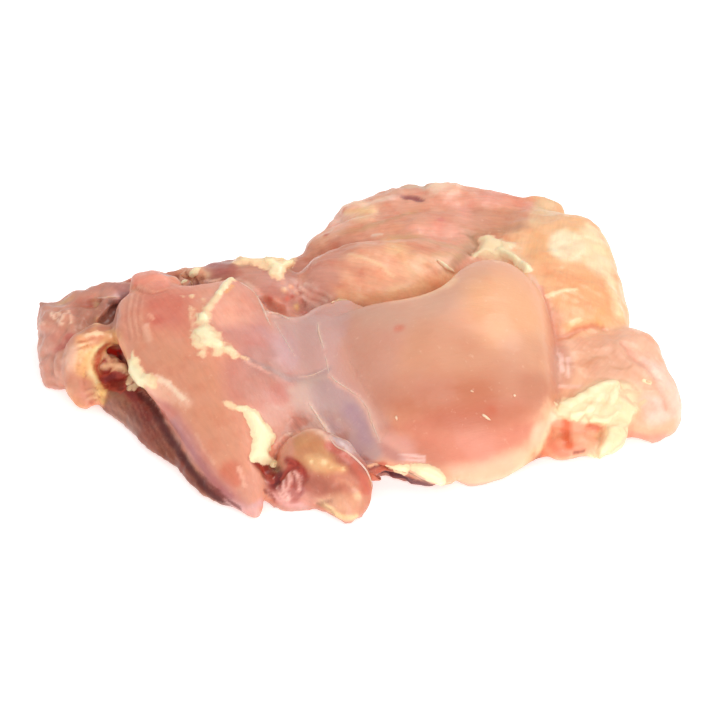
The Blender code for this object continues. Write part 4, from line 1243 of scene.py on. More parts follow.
# The fat at the back right, orange and cream, and the pale lobe below it
RIGHT_SIDE = {
    "orange corner": fill([(529, 236), (540, 232), (550, 244), (552, 264), (536, 264), (528, 254)],
        (240, 174, 118), 0.7, soft=6),
    "blob": fill([(552, 236), (566, 231), (582, 237), (588, 250), (578, 261), (562, 262), (550, 252)],
        (254, 236, 198), 0.95, 0.25),
    "pale right rim": stroke([(592, 228), (603, 254), (611, 284), (618, 312)], 2.6, (254, 234, 190), 0.8,
        soft=1.0),
    "orange middle": fill([(544, 268), (580, 268), (606, 282), (612, 312), (596, 322), (566, 312),
        (550, 296)], (246, 172, 118), 0.7, soft=10),
    "pale shoulder": fill([(580, 230), (600, 236), (610, 262), (600, 276), (586, 262)], (250, 224, 184),
        0.8, soft=5),
    # painted highlights: two pale lines on the fat
    "pale lines": [stroke(line, 0.8, (254, 226, 180), 0.9, 0.2) for line in ([(548, 296), (562, 292),
        (576, 290)], [(571, 323), (580, 320)])],
    "orange spot": dab((598, 323), 1.8, (244, 174, 112), 0.7),
    "flap": fill([(536, 202), (557, 199), (568, 214), (551, 220), (530, 224)], (234, 196, 154), 0.8),
    "crease above the lobe": stroke([(559, 339), (570, 334), (576, 330), (590, 326), (604, 328)], 0.9,
        (224, 138, 104), 0.8, -0.3),
    "grey pink part": fill([(553, 348), (568, 350), (574, 372), (564, 388), (552, 390)], (212, 152, 130),
        0.8, soft=5),
    "shiny lines": [stroke(line, 0.6, (246, 202, 188), 0.7, 0.12) for line in ([(560, 354), (562, 372)],
        [(568, 358), (568, 376)], [(560, 386), (580, 386)])],
    "lobe's middle": fill([(580, 350), (610, 346), (630, 360), (640, 376), (620, 378), (590, 376)],
        (218, 150, 112), 0.8, soft=8),
    "lobe's light end": fill([(642, 396), (664, 398), (672, 416), (650, 424)], (255, 216, 200), 0.7,
        soft=6),
    "lobe's top": fill([(594, 328), (616, 330), (620, 348), (598, 350)], (230, 164, 130), 0.6, soft=6),
    "fold": stroke([(624, 345), (639, 362), (650, 370), (661, 389), (667, 408)], 1.4, (230, 160, 132),
        0.7, -0.3, soft=1.0),
    "lobe's pale edge": stroke([(655, 366), (671, 388), (680, 412)], 4.0, (248, 216, 200), 0.8, soft=1.0),
    "lobe's pink foot": stroke([(630, 434), (646, 438), (664, 437)], 1.8, (234, 152, 136), 0.8, soft=1.0),
    "pocket": fill([(552, 426), (560, 419), (580, 422), (598, 428), (599, 436), (586, 450), (564, 454),
        (540, 460)], (240, 156, 124), 0.9, soft=3),
    "pocket's red line": stroke([(566, 424), (566, 434), (569, 446)], 1.3, (228, 108, 66), 0.9, -0.3,
        0.9),
    "pocket's left edge": stroke([(550, 440), (556, 450), (566, 454)], 1.2, (232, 132, 104), 0.7),
    "pocket's pale bump": stroke([(578, 438), (586, 442), (592, 436)], 1.8, (250, 188, 154), 0.8, 0.2),
    "pocket's dark line": stroke([(574, 453), (584, 451)], 0.6, (150, 70, 50), 0.8, -0.2),
    "red line under the fat": stroke([(590, 426), (600, 428), (608, 426)], 0.9, (214, 100, 62), 0.8,
        -0.2),
}

# The left end: a rim with a purplish top, a hollow dark with painted shade, a ragged lobe and a curl of
# fat
FAR_END = {
    "lobe": fill([(40, 302), (66, 304), (78, 322), (76, 345), (70, 384), (48, 382), (38, 345)],
        (214, 150, 130), 0.8),
    "rim's top": stroke([(40, 303), (62, 304), (82, 292), (105, 284), (126, 285)], 2.0, (196, 144, 130),
        0.7),
    "rim's tan start": stroke([(60, 303), (72, 297)], 1.2, (226, 178, 136), 0.7),
    "rim's purple part": stroke([(86, 290), (108, 286), (124, 287)], 1.6, (190, 124, 118), 0.7),
    "pale thread": stroke([(96, 298), (104, 298), (111, 297), (118, 298)], 0.5, (240, 184, 170), 0.9,
        0.25),
    # darker: painted shade in the hollow
    "hollow": fill([(74, 306), (84, 302), (96, 300), (115, 302), (115, 327), (104, 332), (79, 332),
        (76, 318)], (178, 128, 110), 0.9, -0.5),
    "hollow's left side": fill([(78, 308), (90, 305), (93, 318), (90, 330), (80, 330)], (204, 156, 140),
        0.8),
    # dark line: painted shade in a crease of the hollow
    "hollow's dark line": stroke([(112, 302), (116, 312), (108, 322), (98, 332)], 1.3, (92, 52, 40), 0.85,
        -0.3),
    "hollow's pale strand": stroke([(94, 301), (99, 309), (96, 321), (93, 330)], 1.0, (240, 200, 150),
        0.85, 0.3),
    "red spot": dab((91, 304), 1.1, (212, 104, 80), 0.8),
    "pale spot": dab((96, 307), 0.8, (250, 214, 160), 0.8, 0.2),
    "red streak": stroke([(57, 350), (66, 342), (70, 336)], 1.6, (206, 110, 102), 0.7),
    "lobe's foot": stroke([(48, 383), (60, 388), (70, 392)], 0.8, (190, 126, 106), 0.7),
    "glints": [stroke(glint, 0.55, (255, 218, 198), 0.9, 0.5, 0.9) for glint in ([(52, 315), (55, 320)],
        [(58, 314), (61, 317)], [(64, 321), (66, 316)], [(69, 313), (72, 317), (71, 323)], [(43, 324),
        (46, 327)], [(58, 322), (62, 326)])],
    # painted shade and painted light: the dark and light sides of the folds
    "dark folds": [stroke(fold, 0.9, (200, 124, 108), 0.35, -0.2, soft=1.0) for fold in ([(42, 318),
        (54, 322), (66, 332)], [(40, 334), (52, 338), (62, 350)], [(44, 352), (54, 358), (60, 368)],
        [(48, 370), (56, 378), (66, 382)])],
    "light folds": [stroke(fold, 0.8, (236, 180, 158), 0.35, 0.2, soft=1.0) for fold in ([(44, 312),
        (56, 315), (68, 320)], [(42, 328), (54, 332), (64, 342)], [(42, 346), (54, 351), (62, 360)])],
    "cavity": fill([(104, 345), (118, 346), (126, 366), (127, 388), (115, 391), (106, 386), (101, 374),
        (100, 360)], (160, 32, 20), 0.95, -0.3, 0.9, soft=3),
    "cavity's bright top": stroke([(103, 349), (112, 347), (119, 351)], 1.5, (196, 26, 12), 0.95, 0.0,
        0.9),
    "cavity's deep foot": stroke([(104, 379), (112, 384), (124, 386)], 1.8, (138, 8, 4), 0.95, 0.0, 0.9),
    "muscle's edge beside it": stroke([(118, 338), (121, 349), (126, 361)], 0.9, (244, 176, 148), 0.9,
        0.1, soft=1.0),
    "blood": lay("blood", [(102, 376), (114, 373), (126, 379), (127, 390), (112, 391)], ragged=0.8),
    # painted shade in a narrow gap
    "dark gap": draw("dark", [(118, 352), (122, 358)], 0.3, -0.3),
    "strands in the cavity": [stroke(loop, 1.0, (255, 208, 166), 0.95, 0.7, 0.8, soft=0.9) for loop in
        ([(98, 362), (101, 357), (106, 355), (110, 359), (109, 365), (104, 366)], [(113, 372), (119, 368),
        (126, 372)], [(114, 358), (119, 362), (125, 366)], [(113, 365), (119, 366), (124, 370)])],
    "curl": fill([(80, 334), (95, 330), (115, 336), (119, 346), (106, 346), (99, 366), (105, 388),
        (103, 404), (91, 411), (84, 402), (79, 388), (70, 388), (69, 376), (73, 352)], (238, 172, 122),
        0.85),
    "curl's pale left side": stroke([(74, 350), (71, 364), (73, 378), (79, 390)], 1.8, (240, 192, 168),
        0.8, 0.2),
    "curl's pink tip": stroke([(86, 384), (88, 398), (98, 405)], 2.2, (238, 166, 142), 0.85, 0.1),
    "golden band": stroke([(116, 336), (106, 343), (98, 350), (89, 357), (87, 366), (89, 375), (95, 384),
        (100, 394)], 2.4, (253, 214, 146), 0.95, 0.3, 0.6, soft=0.9, ragged=0.6),
    "golden band's light": stroke([(104, 344), (95, 352), (89, 362), (90, 373), (97, 383)], 0.9,
        (255, 236, 182), 0.9, 0.3, soft=0.9, ragged=0.5),
    "curl's upper fat": draw("thin_fat", [(80, 339), (89, 334), (100, 333), (111, 336)], 0.4, 0.3, 0.6),
    # painted shade in the crinkles' grooves, and painted light on their edges
    "crinkles": [stroke(crinkle, 0.4, (190, 104, 66), 0.75, -0.45, soft=1.0) for crinkle in ([(78, 342),
        (86, 341), (94, 338)], [(77, 350), (84, 347), (92, 343)], [(81, 358), (84, 351), (92, 346)],
        [(78, 366), (80, 356)], [(76, 374), (79, 366), (82, 358)], [(84, 384), (86, 376), (84, 368)],
        [(97, 352), (93, 362), (96, 374)], [(86, 390), (92, 388), (98, 391)], [(87, 396), (93, 394),
        (99, 398)], [(90, 402), (96, 400), (101, 403)])],
    "crinkles' light edges": [stroke(edge, 0.5, (255, 222, 180), 0.8, 0.4, soft=1.0) for edge in
        ([(79, 346), (86, 344), (95, 341)], [(80, 362), (82, 355), (90, 349)], [(86, 393), (92, 391),
        (99, 394)], [(88, 399), (95, 397), (101, 400)])],
    "red line inside the curl": stroke([(107, 345), (100, 352), (97, 362), (100, 374), (106, 386)], 0.9,
        (196, 72, 48), 0.85, -0.4),
    "red spot on the tip": dab((92, 403), 0.8, (206, 96, 78), 0.8),
    "red spot beside it": dab((99, 398), 0.6, (200, 96, 72), 0.6),
}

# The darker flesh between the far lobe and the hollow, in painted shade, painted shade below the muscle's
# edge, and the pink foot of the curl
FAR_END_SHADE = {
    # painted shade in the hollow
    "hollow": fill([(72, 306), (92, 300), (114, 302), (116, 318), (98, 324), (76, 322)], (188, 116, 98),
        0.6, soft=7),
    "curl's top": fill([(82, 328), (98, 322), (118, 326), (121, 338), (110, 345), (92, 342)],
        (206, 126, 88), 0.6, soft=5),
    "curl's foot": fill([(66, 374), (84, 374), (97, 386), (92, 404), (74, 404)], (204, 130, 106), 0.65,
        soft=7),
    "curl's golden side": fill([(78, 350), (92, 350), (90, 372), (76, 374)], (250, 196, 138), 0.5),
    "rim": fill([(64, 296), (84, 286), (110, 284), (112, 296), (90, 302)], (208, 146, 128), 0.6),
    # blood colour with painted shade, under the muscle's edge
    "blood and shade under the muscle": stroke([(112, 382), (128, 388), (138, 396)], 1.8, (136, 36, 22), 0.85),
    "lobe's left side": fill([(30, 318), (44, 316), (48, 350), (60, 372), (48, 382), (38, 366)],
        (220, 166, 150), 0.5, soft=6),
}

# The dark red shade right below the left muscle's edge
UNDER_EDGE = {
    "shade": stroke([(140, 394), (150, 403), (159, 418), (170, 437), (181, 455), (195, 475), (209, 491),
        (226, 507)], 1.2, (92, 26, 22), 0.95, 0.0, 0.2),
    "point's shade": stroke([(200, 475), (210, 485), (220, 494), (230, 502), (240, 509)], 0.7,
        (120, 48, 44), 0.85, 0.0, 0.3),
}

# The thin fat on the left: a strip over the muscle's edge, a torn patch on it, and scraps
LEFT_FAT = {
    "thin part of the strip": fill([(150, 374), (167, 380), (174, 388), (187, 396), (192, 403),
        (189, 408), (180, 406), (170, 403), (160, 399), (151, 395), (144, 388)], (240, 184, 156), 0.85,
        0.2, 0.9, ragged=2.0),
    "strip": lay("thin_fat", [(133, 351), (139, 359), (145, 370), (154, 375), (160, 380), (156, 387),
        (148, 388), (142, 386), (137, 384), (133, 384), (130, 389), (128, 379), (129, 372), (128, 364),
        (129, 356)], 0.5, ragged=0.8),
    "strip's thick part": lay("fat", [(133, 353), (138, 360), (144, 371), (152, 376), (150, 384),
        (142, 386), (133, 383), (130, 378), (129, 366), (130, 357)], 0.4, ragged=0.6),
    "pale line on the strip": stroke([(156, 377), (168, 384), (178, 393), (188, 402)], 0.7,
        (255, 220, 190), 0.9, 0.2, soft=0.9, ragged=0.8),
    "fringe": [draw("fat", fringe, 0.5, 0.3) for fringe in ([(131, 376), (128, 382), (129, 390)],
        [(135, 385), (134, 390)])],
    "strand": draw("thin_fat", [(204, 316), (209, 308), (214, 301), (220, 292), (227, 284), (233, 277)],
        0.9, 0.5),
    "strand's thick end": draw("fat", [(219, 294), (226, 285), (232, 278)], 0.8, 0.5),
    "orange beside the strand": stroke([(226, 292), (232, 286)], 0.8, (246, 178, 118), 0.8),
    "thin scraps": [draw("thin_fat", path, 0.25, 0.1, 0.4) for path in ([(201, 318), (203, 308),
        (204, 299)], [(191, 332), (192, 320), (190, 306)])],
    "knob": fill([(176, 270), (186, 265), (200, 267), (207, 274), (202, 283), (190, 283), (181, 285)],
        (226, 160, 128), 0.9, 0.2, soft=2),
    "knob's crumbs": [draw(layer, [place, place], width, 0.5, 0.7) for place, width, layer in
        (((181, 269), 0.5, "thin_fat"), ((188, 268), 0.6, "thin_fat"), ((197, 271), 0.9, "fat"),
        ((204, 275), 0.6, "thin_fat"), ((192, 275), 0.6, "fat"), ((184, 281), 0.7, "fat"), ((191, 283),
        0.8, "fat"), ((198, 280), 0.4, "thin_fat"))],
    # painted shade in the pits between the crumbs
    "knob's pits": [stroke(pit, 0.45, (158, 90, 66), 0.85, -0.5) for pit in ([(177, 275), (178, 281),
        (182, 286)], [(186, 273), (189, 278)], [(195, 277), (198, 284)], [(201, 278), (206, 282)])],
    "thread beside the knob": stroke([(204, 281), (213, 281), (221, 279)], 0.5, (252, 208, 192), 0.85,
        0.2),
    "patch": lay("thin_fat", [(194, 308), (200, 311), (206, 308), (212, 311), (211, 323), (216, 331),
        (222, 337), (231, 347), (238, 354), (234, 358), (226, 354), (218, 356), (212, 354), (210, 348),
        (204, 350), (203, 356), (197, 351), (192, 343), (190, 336), (195, 329), (194, 318)], 0.3,
        ragged=0.9),
    "patch's thick part": lay("fat", [(198, 315), (206, 314), (208, 328), (218, 338), (228, 349),
        (216, 350), (206, 345), (197, 336), (201, 326)], 0.3, ragged=1.0),
    "patch's tail": draw("thin_fat", [(228, 349), (237, 354), (247, 359)], 0.5, 0.2, 0.4),
    "scrap beside the piece": draw("thin_fat", [(226, 404), (233, 407), (243, 409)], 0.6, 0.2, 0.6),
    "piece": lay("fat", [(235, 408), (245, 406), (254, 409), (263, 419), (272, 431), (275, 437),
        (272, 445), (268, 455), (277, 462), (274, 467), (265, 464), (258, 462), (252, 462), (249, 457),
        (252, 446), (251, 433), (247, 422), (242, 414)], 0.9, 1.1, 0.4),
}

# Yellow fat along the top of the ridge, and torn fat in the seam behind the large muscle
RIDGE_FAT = {
    "ridge": lay("thin_fat", [(232, 262), (238, 255), (250, 256), (262, 256), (272, 258), (278, 262),
        (288, 260), (296, 259), (295, 265), (286, 271), (284, 280), (276, 281), (268, 272), (256, 266),
        (244, 264)], 0.6, 1.0, 0.7),
    "ridge's thick part": lay("fat", [(262, 256), (272, 258), (280, 262), (292, 260), (286, 270),
        (278, 276), (268, 268)], 0.5, 0.8, 0.8),
    "seam": lay("thin_fat", [(478, 238), (484, 234), (491, 234), (499, 239), (512, 243), (523, 245),
        (522, 250), (514, 250), (520, 256), (528, 264), (528, 270), (516, 264), (502, 262), (490, 260),
        (474, 259), (470, 256), (477, 250), (479, 245)], 0.9, 1.0, 0.5),
    "seam's tail": draw("fat", [(500, 254), (512, 258), (520, 264), (528, 271)], 0.9, 0.9),
    "seam's thick left end": draw("fat", [(474, 257), (484, 253), (496, 256)], 0.5, 0.2),
    "shade beside the seam": stroke([(472, 236), (478, 244), (472, 254)], 1.4, (168, 120, 84), 0.8, -0.5,
        soft=1.0),
    "red spot": dab((494, 238), 0.9, (214, 112, 96), 0.9),
}

# The torn fat on the right lobe, folded, with a tail that hangs to the surface
RIGHT_FAT = {
    "lump": lay("thin_fat", [(552, 410), (561, 399), (578, 393), (599, 384), (616, 381), (621, 387),
        (619, 394), (629, 400), (639, 405), (639, 412), (632, 417), (629, 425), (622, 430), (608, 428),
        (602, 426), (592, 424), (584, 419), (575, 421), (558, 418)], 0.6, 1.0, 0.7),
    "tail": lay("thin_fat", [(606, 424), (622, 427), (626, 436), (617, 447), (603, 459), (591, 463),
        (581, 461), (594, 449), (600, 440)], 1.0, 1.0, 0.5),
    "folds": [mark for path, width, lift in (([(558, 408), (576, 402), (594, 392), (612, 385)], 1.6, 0.6),
        ([(572, 416), (588, 410), (600, 398)], 1.2, 0.5), ([(604, 412), (612, 402), (616, 392)], 1.0,
        0.6), ([(592, 420), (606, 420), (618, 412)], 1.1, 0.6), ([(622, 404), (632, 410)], 0.8, 0.5),
        ([(614, 430), (608, 444), (594, 456)], 1.0, 0.5), ([(600, 386), (614, 382), (618, 388)], 0.7,
        0.5)) for mark in (draw("fat", path, width * 0.6, 0.0, 0.9), stroke(path, width, (250, 220, 180),
        0.5, lift, soft=1.0))],
    # darker: painted shade in the hollows of the fat
    "hollows": [stroke(hollow, 0.8, (236, 176, 128), 0.8, -0.5) for hollow in ([(586, 402), (598, 404)],
        [(598, 436), (604, 430)], [(618, 418), (626, 420)])],
    # painted shade in a hole
    "dark hole": draw("dark", [(602, 403), (604, 405)], 0.5, -1.0),
    "shreds": [draw("thin_fat", shred, 0.4, 0.3) for shred in ([(619, 394), (628, 391), (638, 392)],
        [(640, 404), (646, 400)])],
    "fleck": draw("fat", [(645, 380), (651, 382)], 0.5, 0.3),
}

# The pale lifted edge in front of the large muscle, over a gap dark with painted shade
EDGE_FAT = {
    "inner wall": fill([(368, 467), (383, 462), (392, 470), (404, 475), (416, 480), (434, 486),
        (442, 490), (426, 487), (410, 485), (398, 480), (384, 478), (372, 482)], (206, 112, 88), 0.9,
        soft=2),
    "pale lip": draw("thin_fat", [(367, 466), (374, 464), (380, 461), (382, 457)], 0.35, 0.2),
    # painted shade along the lip's underside
    "dark line under the lip": stroke([(370, 468), (378, 465), (384, 464), (391, 470)], 0.5,
        (140, 62, 50), 0.85),
    "drop": lay("fat", [(386, 466), (396, 465), (408, 464), (409, 470), (405, 475), (399, 473),
        (391, 470)], 0.3, 0.8, 0.3),
    "lobe": lay("fat", [(411, 464), (421, 464), (435, 467), (442, 472), (445, 480), (443, 488),
        (436, 485), (427, 480), (418, 475), (410, 470)], 0.3, 0.8, 0.3),
    # painted shadow under the lip, down to the surface
    "under the lip": fill([(376, 476), (390, 479), (402, 482), (414, 485), (428, 490), (442, 492),
        (430, 484), (414, 478), (400, 476), (388, 473)], (112, 58, 62), 0.95, soft=1.5),
    "brown line": stroke([(409, 473), (417, 477), (426, 482), (436, 487)], 0.4, (150, 84, 60), 0.85),
    # painted shade in the gap, which is also pushed in
    "gap": lay("dark", [(377, 475), (384, 472), (393, 473), (401, 475), (407, 479), (414, 484),
        (402, 482), (392, 479), (382, 479)], -1.3, 0.5, 0.3),
}

MEAT_TABLES = (UNDER_LAYER, LEFT_MUSCLE, DOME, FILM, FRONT, RIDGE, ROLLS, RIGHT_SIDE, FAR_END,
               FAR_END_SHADE, UNDER_EDGE)
FAT_TABLES = (LEFT_FAT, RIDGE_FAT, RIGHT_FAT, EDGE_FAT)

# Painted shade at the foot, in paler flesh: how high it reaches in millimetres, and its colour and
# strength
FOOT_HEIGHT = 1.6
FOOT_COLOUR = (206, 160, 150)
FOOT_STRENGTH = 0.85


def paint_foot(skin):
    """Painted shade: the paler flesh where the thigh meets the surface it lies on."""
    low = np.flatnonzero(skin.points[:, 2] < FOOT_HEIGHT)
    near_floor = np.clip(1 - skin.points[low, 2] / FOOT_HEIGHT, 0, 1)
    skin.dye(low, near_floor ** 0.5, FOOT_COLOUR, FOOT_STRENGTH)


def paint_body(skin, surface):
    brush = Painter(skin, surface)
    for marks in MEAT_TABLES:
        brush.make(marks)
    paint_foot(skin)
    for marks in FAT_TABLES:
        brush.make(marks)


# Fat: balls laid on the meat and grown together, cream where it is thick

CREAM = (252, 234, 200)
THIN_FAT = (244, 190, 158)
FULL_FAT = 0.7
STRAND_STEP = 1.2
FAT_VOXEL = 0.2
FAT_SMOOTH_PASSES = 6
LUMP_SIZE = 1.4
LUMP_HEIGHT = 0.12
FAT_WETNESS = 0.4
FLECKS_SEED = 20

# Flecks and strands: each a path in pixels, its radii in millimetres, and how far it stands out as a
# share of them
FLECKS = {
    "fleck in the dome's middle": ([(471, 391), (474, 392)], (0.35, 0.3), 0.1),
    "fleck beside the film": ([(396, 417), (397, 420)], (0.35, 0.3), 0.1),
    "fleck low on the dome": ([(483, 415), (490, 420)], (0.35, 0.3), 0.1),
    "fleck on the dome's right": ([(514, 395), (515, 396)], (0.35, 0.3), 0.1),
    "fleck on the right lobe": ([(647, 381), (650, 382)], (0.35, 0.3), 0.1),
    "strand between the rolls": ([(438, 261), (446, 267), (455, 273)], (0.5, 0.6, 0.3), 0.1),
    "strand behind the film": ([(332, 303), (339, 300), (347, 300)], (0.3, 0.45, 0.3), 0.3),
}


class Fat:
    """One piece of fat, gathered as balls of (centre, radius) in millimetres."""

    def __init__(self, surface, seed):
        self.surface = surface
        self.random = np.random.default_rng(seed)
        self.balls = []

    def strand(self, path, radii, rise):
        """A strand along a path of pixels, with radii spaced evenly along it."""
        pixels = flat_curve(path, STRAND_STEP)
        for k, pixel in enumerate(pixels):
            place = k / (len(pixels) - 1) * (len(radii) - 1)
            size = np.interp(place, range(len(radii)), radii) * self.random.uniform(0.9, 1.1)
            self.ball(self.surface.at(*pixel), size, rise)

    def ball(self, place, size, rise):
        point, outward_way = place
        self.balls.append((point + outward_way * size * rise, size))

    def grown(self):
        """The balls grown together, evened out and made lumpy."""
        template = bmesh.new()
        bmesh.ops.create_icosphere(template, subdivisions=2, radius=1.0)
        corners = [vertex.co.copy() for vertex in template.verts]
        triangles = [[vertex.index for vertex in face.verts] for face in template.faces]
        template.free()
        points = []
        faces = []
        for centre, size in self.balls:
            base = len(points)
            points += [centre + corner * size for corner in corners]
            faces += [[base + i for i in triangle] for triangle in triangles]
        skin = Skin(fused(new_object("balls", points, faces), FAT_VOXEL))
        skin.smooth(FAT_SMOOTH_PASSES, 1.0)
        skin.lift = clouds(skin.points, LUMP_SIZE, seed=5, octaves=3) * LUMP_HEIGHT
        skin.apply_lift()
        thickness = np.array([self.above(point) for point in skin.points])
        full = smoothstep(thickness / FULL_FAT)[:, None]
        skin.tint = linear(THIN_FAT) * (1.0 - full) + linear(CREAM) * full
        skin.wet[:] = FAT_WETNESS
        skin.fibre = skin.points * PLAIN_FIBRE
        skin.prepare(skin.surface())
        return skin

    def above(self, point):
        """How far a point stands out of the meat, in millimetres, or 0 inside it."""
        place = Vector(point)
        nearest, outward_way, _, distance = self.surface.tree.find_nearest(place)
        return distance if (place - nearest).dot(outward_way) > 0 else 0.0


def small_flecks(surface, material):
    """Flecks of fat on the muscles, and short strands in the seams."""
    fat = Fat(surface, FLECKS_SEED)
    for path, radii, rise in FLECKS.values():
        fat.strand(path, radii, rise)
    return fat.grown().finish("fat_flecks", material)


# Threads: thin raised lines of film, half sunk in the meat

THREAD_SIDES = 8
THREAD_STEP = 1.2
THREAD_COLOUR = (236, 190, 174)
THREAD_WETNESS = 0.9

# The thread on the far end's rim: its path in pixels, and its half width and height in millimetres
RIM_THREAD = ([(97, 298), (104, 298), (111, 297), (118, 298)], 0.25, 0.22)


def add_thread(points, faces, surface, path, width, height):
    """A flat tube along a path of pixels, tapered at both ends."""
    places = surface.trace(path, THREAD_STEP)
    last = len(places) - 1
    start = len(points)
    points.append(places[0][0])
    for k in range(1, last):
        point, outward_way = places[k]
        heading = (places[k + 1][0] - places[k - 1][0]).normalized()
        side = heading.cross(outward_way).normalized()
        taper = sin(pi * k / last) ** 0.5
        for j in range(THREAD_SIDES):
            turn = 2 * pi * j / THREAD_SIDES
            offset = side * cos(turn) * width + outward_way * (sin(turn) - 0.2) * height
            points.append(point + offset * taper)
    points.append(places[last][0])
    for j in range(THREAD_SIDES):
        after = (j + 1) % THREAD_SIDES
        faces.append([start, start + 1 + after, start + 1 + j])
        for k in range(last - 2):
            near = start + 1 + k * THREAD_SIDES
            far = near + THREAD_SIDES
            faces.append([near + j, near + after, far + after, far + j])
        final = start + 1 + (last - 2) * THREAD_SIDES
        faces.append([final + j, final + after, len(points) - 1])


def film_threads(surface, material):
    """The pale lines in and round the film, and on the far end's rim."""
    points = []
    faces = []
    for path, width, height in [line[:3] for line in FILM_LINES] + [RIM_THREAD]:
        add_thread(points, faces, surface, path, width, height)
    threads = new_object("threads", points, faces)
    outward(threads)
    mesh = threads.data
    bpy.data.objects.remove(threads)
    skin = Skin(mesh)
    skin.tint[:] = linear(THREAD_COLOUR)
    skin.wet[:] = THREAD_WETNESS
    skin.fibre = skin.points * PLAIN_FIBRE
    return skin.finish("film_threads", material)


# Materials

MM_PER_M = 1000.0
BUMP_STRENGTH = 0.6
COAT_ROUGHNESS = 0.16
MEAT_IOR = 1.4

# How far red, green and blue light spread under the surface, as shares of the furthest
LIGHT_SPREAD = (1.0, 0.36, 0.22)

# What the mottling multiplies or mixes the meat's colour with, and the fat's painted shade in its hollows
TANNED = (250, 238, 214)
REDDENED = (246, 210, 200)
SPECKS = (255, 224, 196)
FAT_HOLLOW_SHADE = (252, 228, 200)


def node(material, kind, **settings):
    made = material.node_tree.nodes.new(kind)
    for name, value in settings.items():
        setattr(made, name, value)
    return made


def join(material, start, end):
    material.node_tree.links.new(start, end)


def noise_node(material, coordinates, scale, detail, roughness=0.55):
    made = node(material, "ShaderNodeTexNoise")
    made.inputs["Scale"].default_value = scale
    made.inputs["Detail"].default_value = detail
    made.inputs["Roughness"].default_value = roughness
    join(material, coordinates, made.inputs["Vector"])
    return made.outputs["Fac"]


def mapped(material, value, old, new):
    """A value stretched from one span to another, and held to its ends beyond them."""
    made = node(material, "ShaderNodeMapRange")
    for name, number in zip(("From Min", "From Max", "To Min", "To Max"), (*old, *new)):
        made.inputs[name].default_value = number
    join(material, value, made.inputs["Value"])
    return made.outputs["Result"]


def mixed(material, mode, factor, first, second):
    """Two colours mixed; factor and second may be a number or colour, or a socket."""
    made = node(material, "ShaderNodeMix", data_type="RGBA", blend_type=mode)
    for place, value in ((0, factor), (6, first), (7, second)):
        if isinstance(value, bpy.types.NodeSocket):
            join(material, value, made.inputs[place])
        elif place == 0:
            made.inputs[place].default_value = value
        else:
            made.inputs[place].default_value = (*value, 1.0)
    return made.outputs[2]


def sum_of(material, first, second, gain):
    made = node(material, "ShaderNodeMath", operation="MULTIPLY_ADD")
    join(material, second, made.inputs[0])
    made.inputs[1].default_value = gain
    join(material, first, made.inputs[2])
    return made.outputs[0]


def product(material, first, second):
    made = node(material, "ShaderNodeMath", operation="MULTIPLY")
    join(material, first, made.inputs[0])
    join(material, second, made.inputs[1])
    return made.outputs[0]


def attribute(material, name, output):
    return node(material, "ShaderNodeAttribute", attribute_name=name).outputs[output]


def principled(material, roughness, subsurface, scale, coat):
    surface = material.node_tree.nodes["Principled BSDF"]
    surface.inputs["Roughness"].default_value = roughness
    surface.inputs["Subsurface Weight"].default_value = subsurface
    surface.inputs["Subsurface Radius"].default_value = LIGHT_SPREAD
    surface.inputs["Subsurface Scale"].default_value = scale
    surface.inputs["Coat Weight"].default_value = coat
    surface.inputs["Coat Roughness"].default_value = COAT_ROUGHNESS
    surface.inputs["IOR"].default_value = MEAT_IOR
    return surface


def bumped(material, surface, height, distance):
    made = node(material, "ShaderNodeBump")
    made.inputs["Strength"].default_value = BUMP_STRENGTH
    made.inputs["Distance"].default_value = distance
    join(material, height, made.inputs["Height"])
    join(material, made.outputs["Normal"], surface.inputs["Normal"])


def layered(material, below, name, place):
    """Cover a colour with a layer that is torn at its edge, and say where."""
    thin, thick, size, ragged, edge = LAYERS[name]
    depth = attribute(material, name, "Fac")
    torn = noise_node(material, place, MM_PER_M / size, detail=4.0, roughness=0.6)
    torn_depth = sum_of(material, depth, torn, 2 * ragged)
    cover = mapped(material, torn_depth, (ragged - edge, ragged + edge), (0.0, 1.0))
    deep = mapped(material, torn_depth, (ragged, ragged + DEEP), (0.0, 1.0))
    colour = mixed(material, "MIX", deep, tuple(linear(thin)), tuple(linear(thick)))
    return mixed(material, "MIX", cover, below, colour), cover


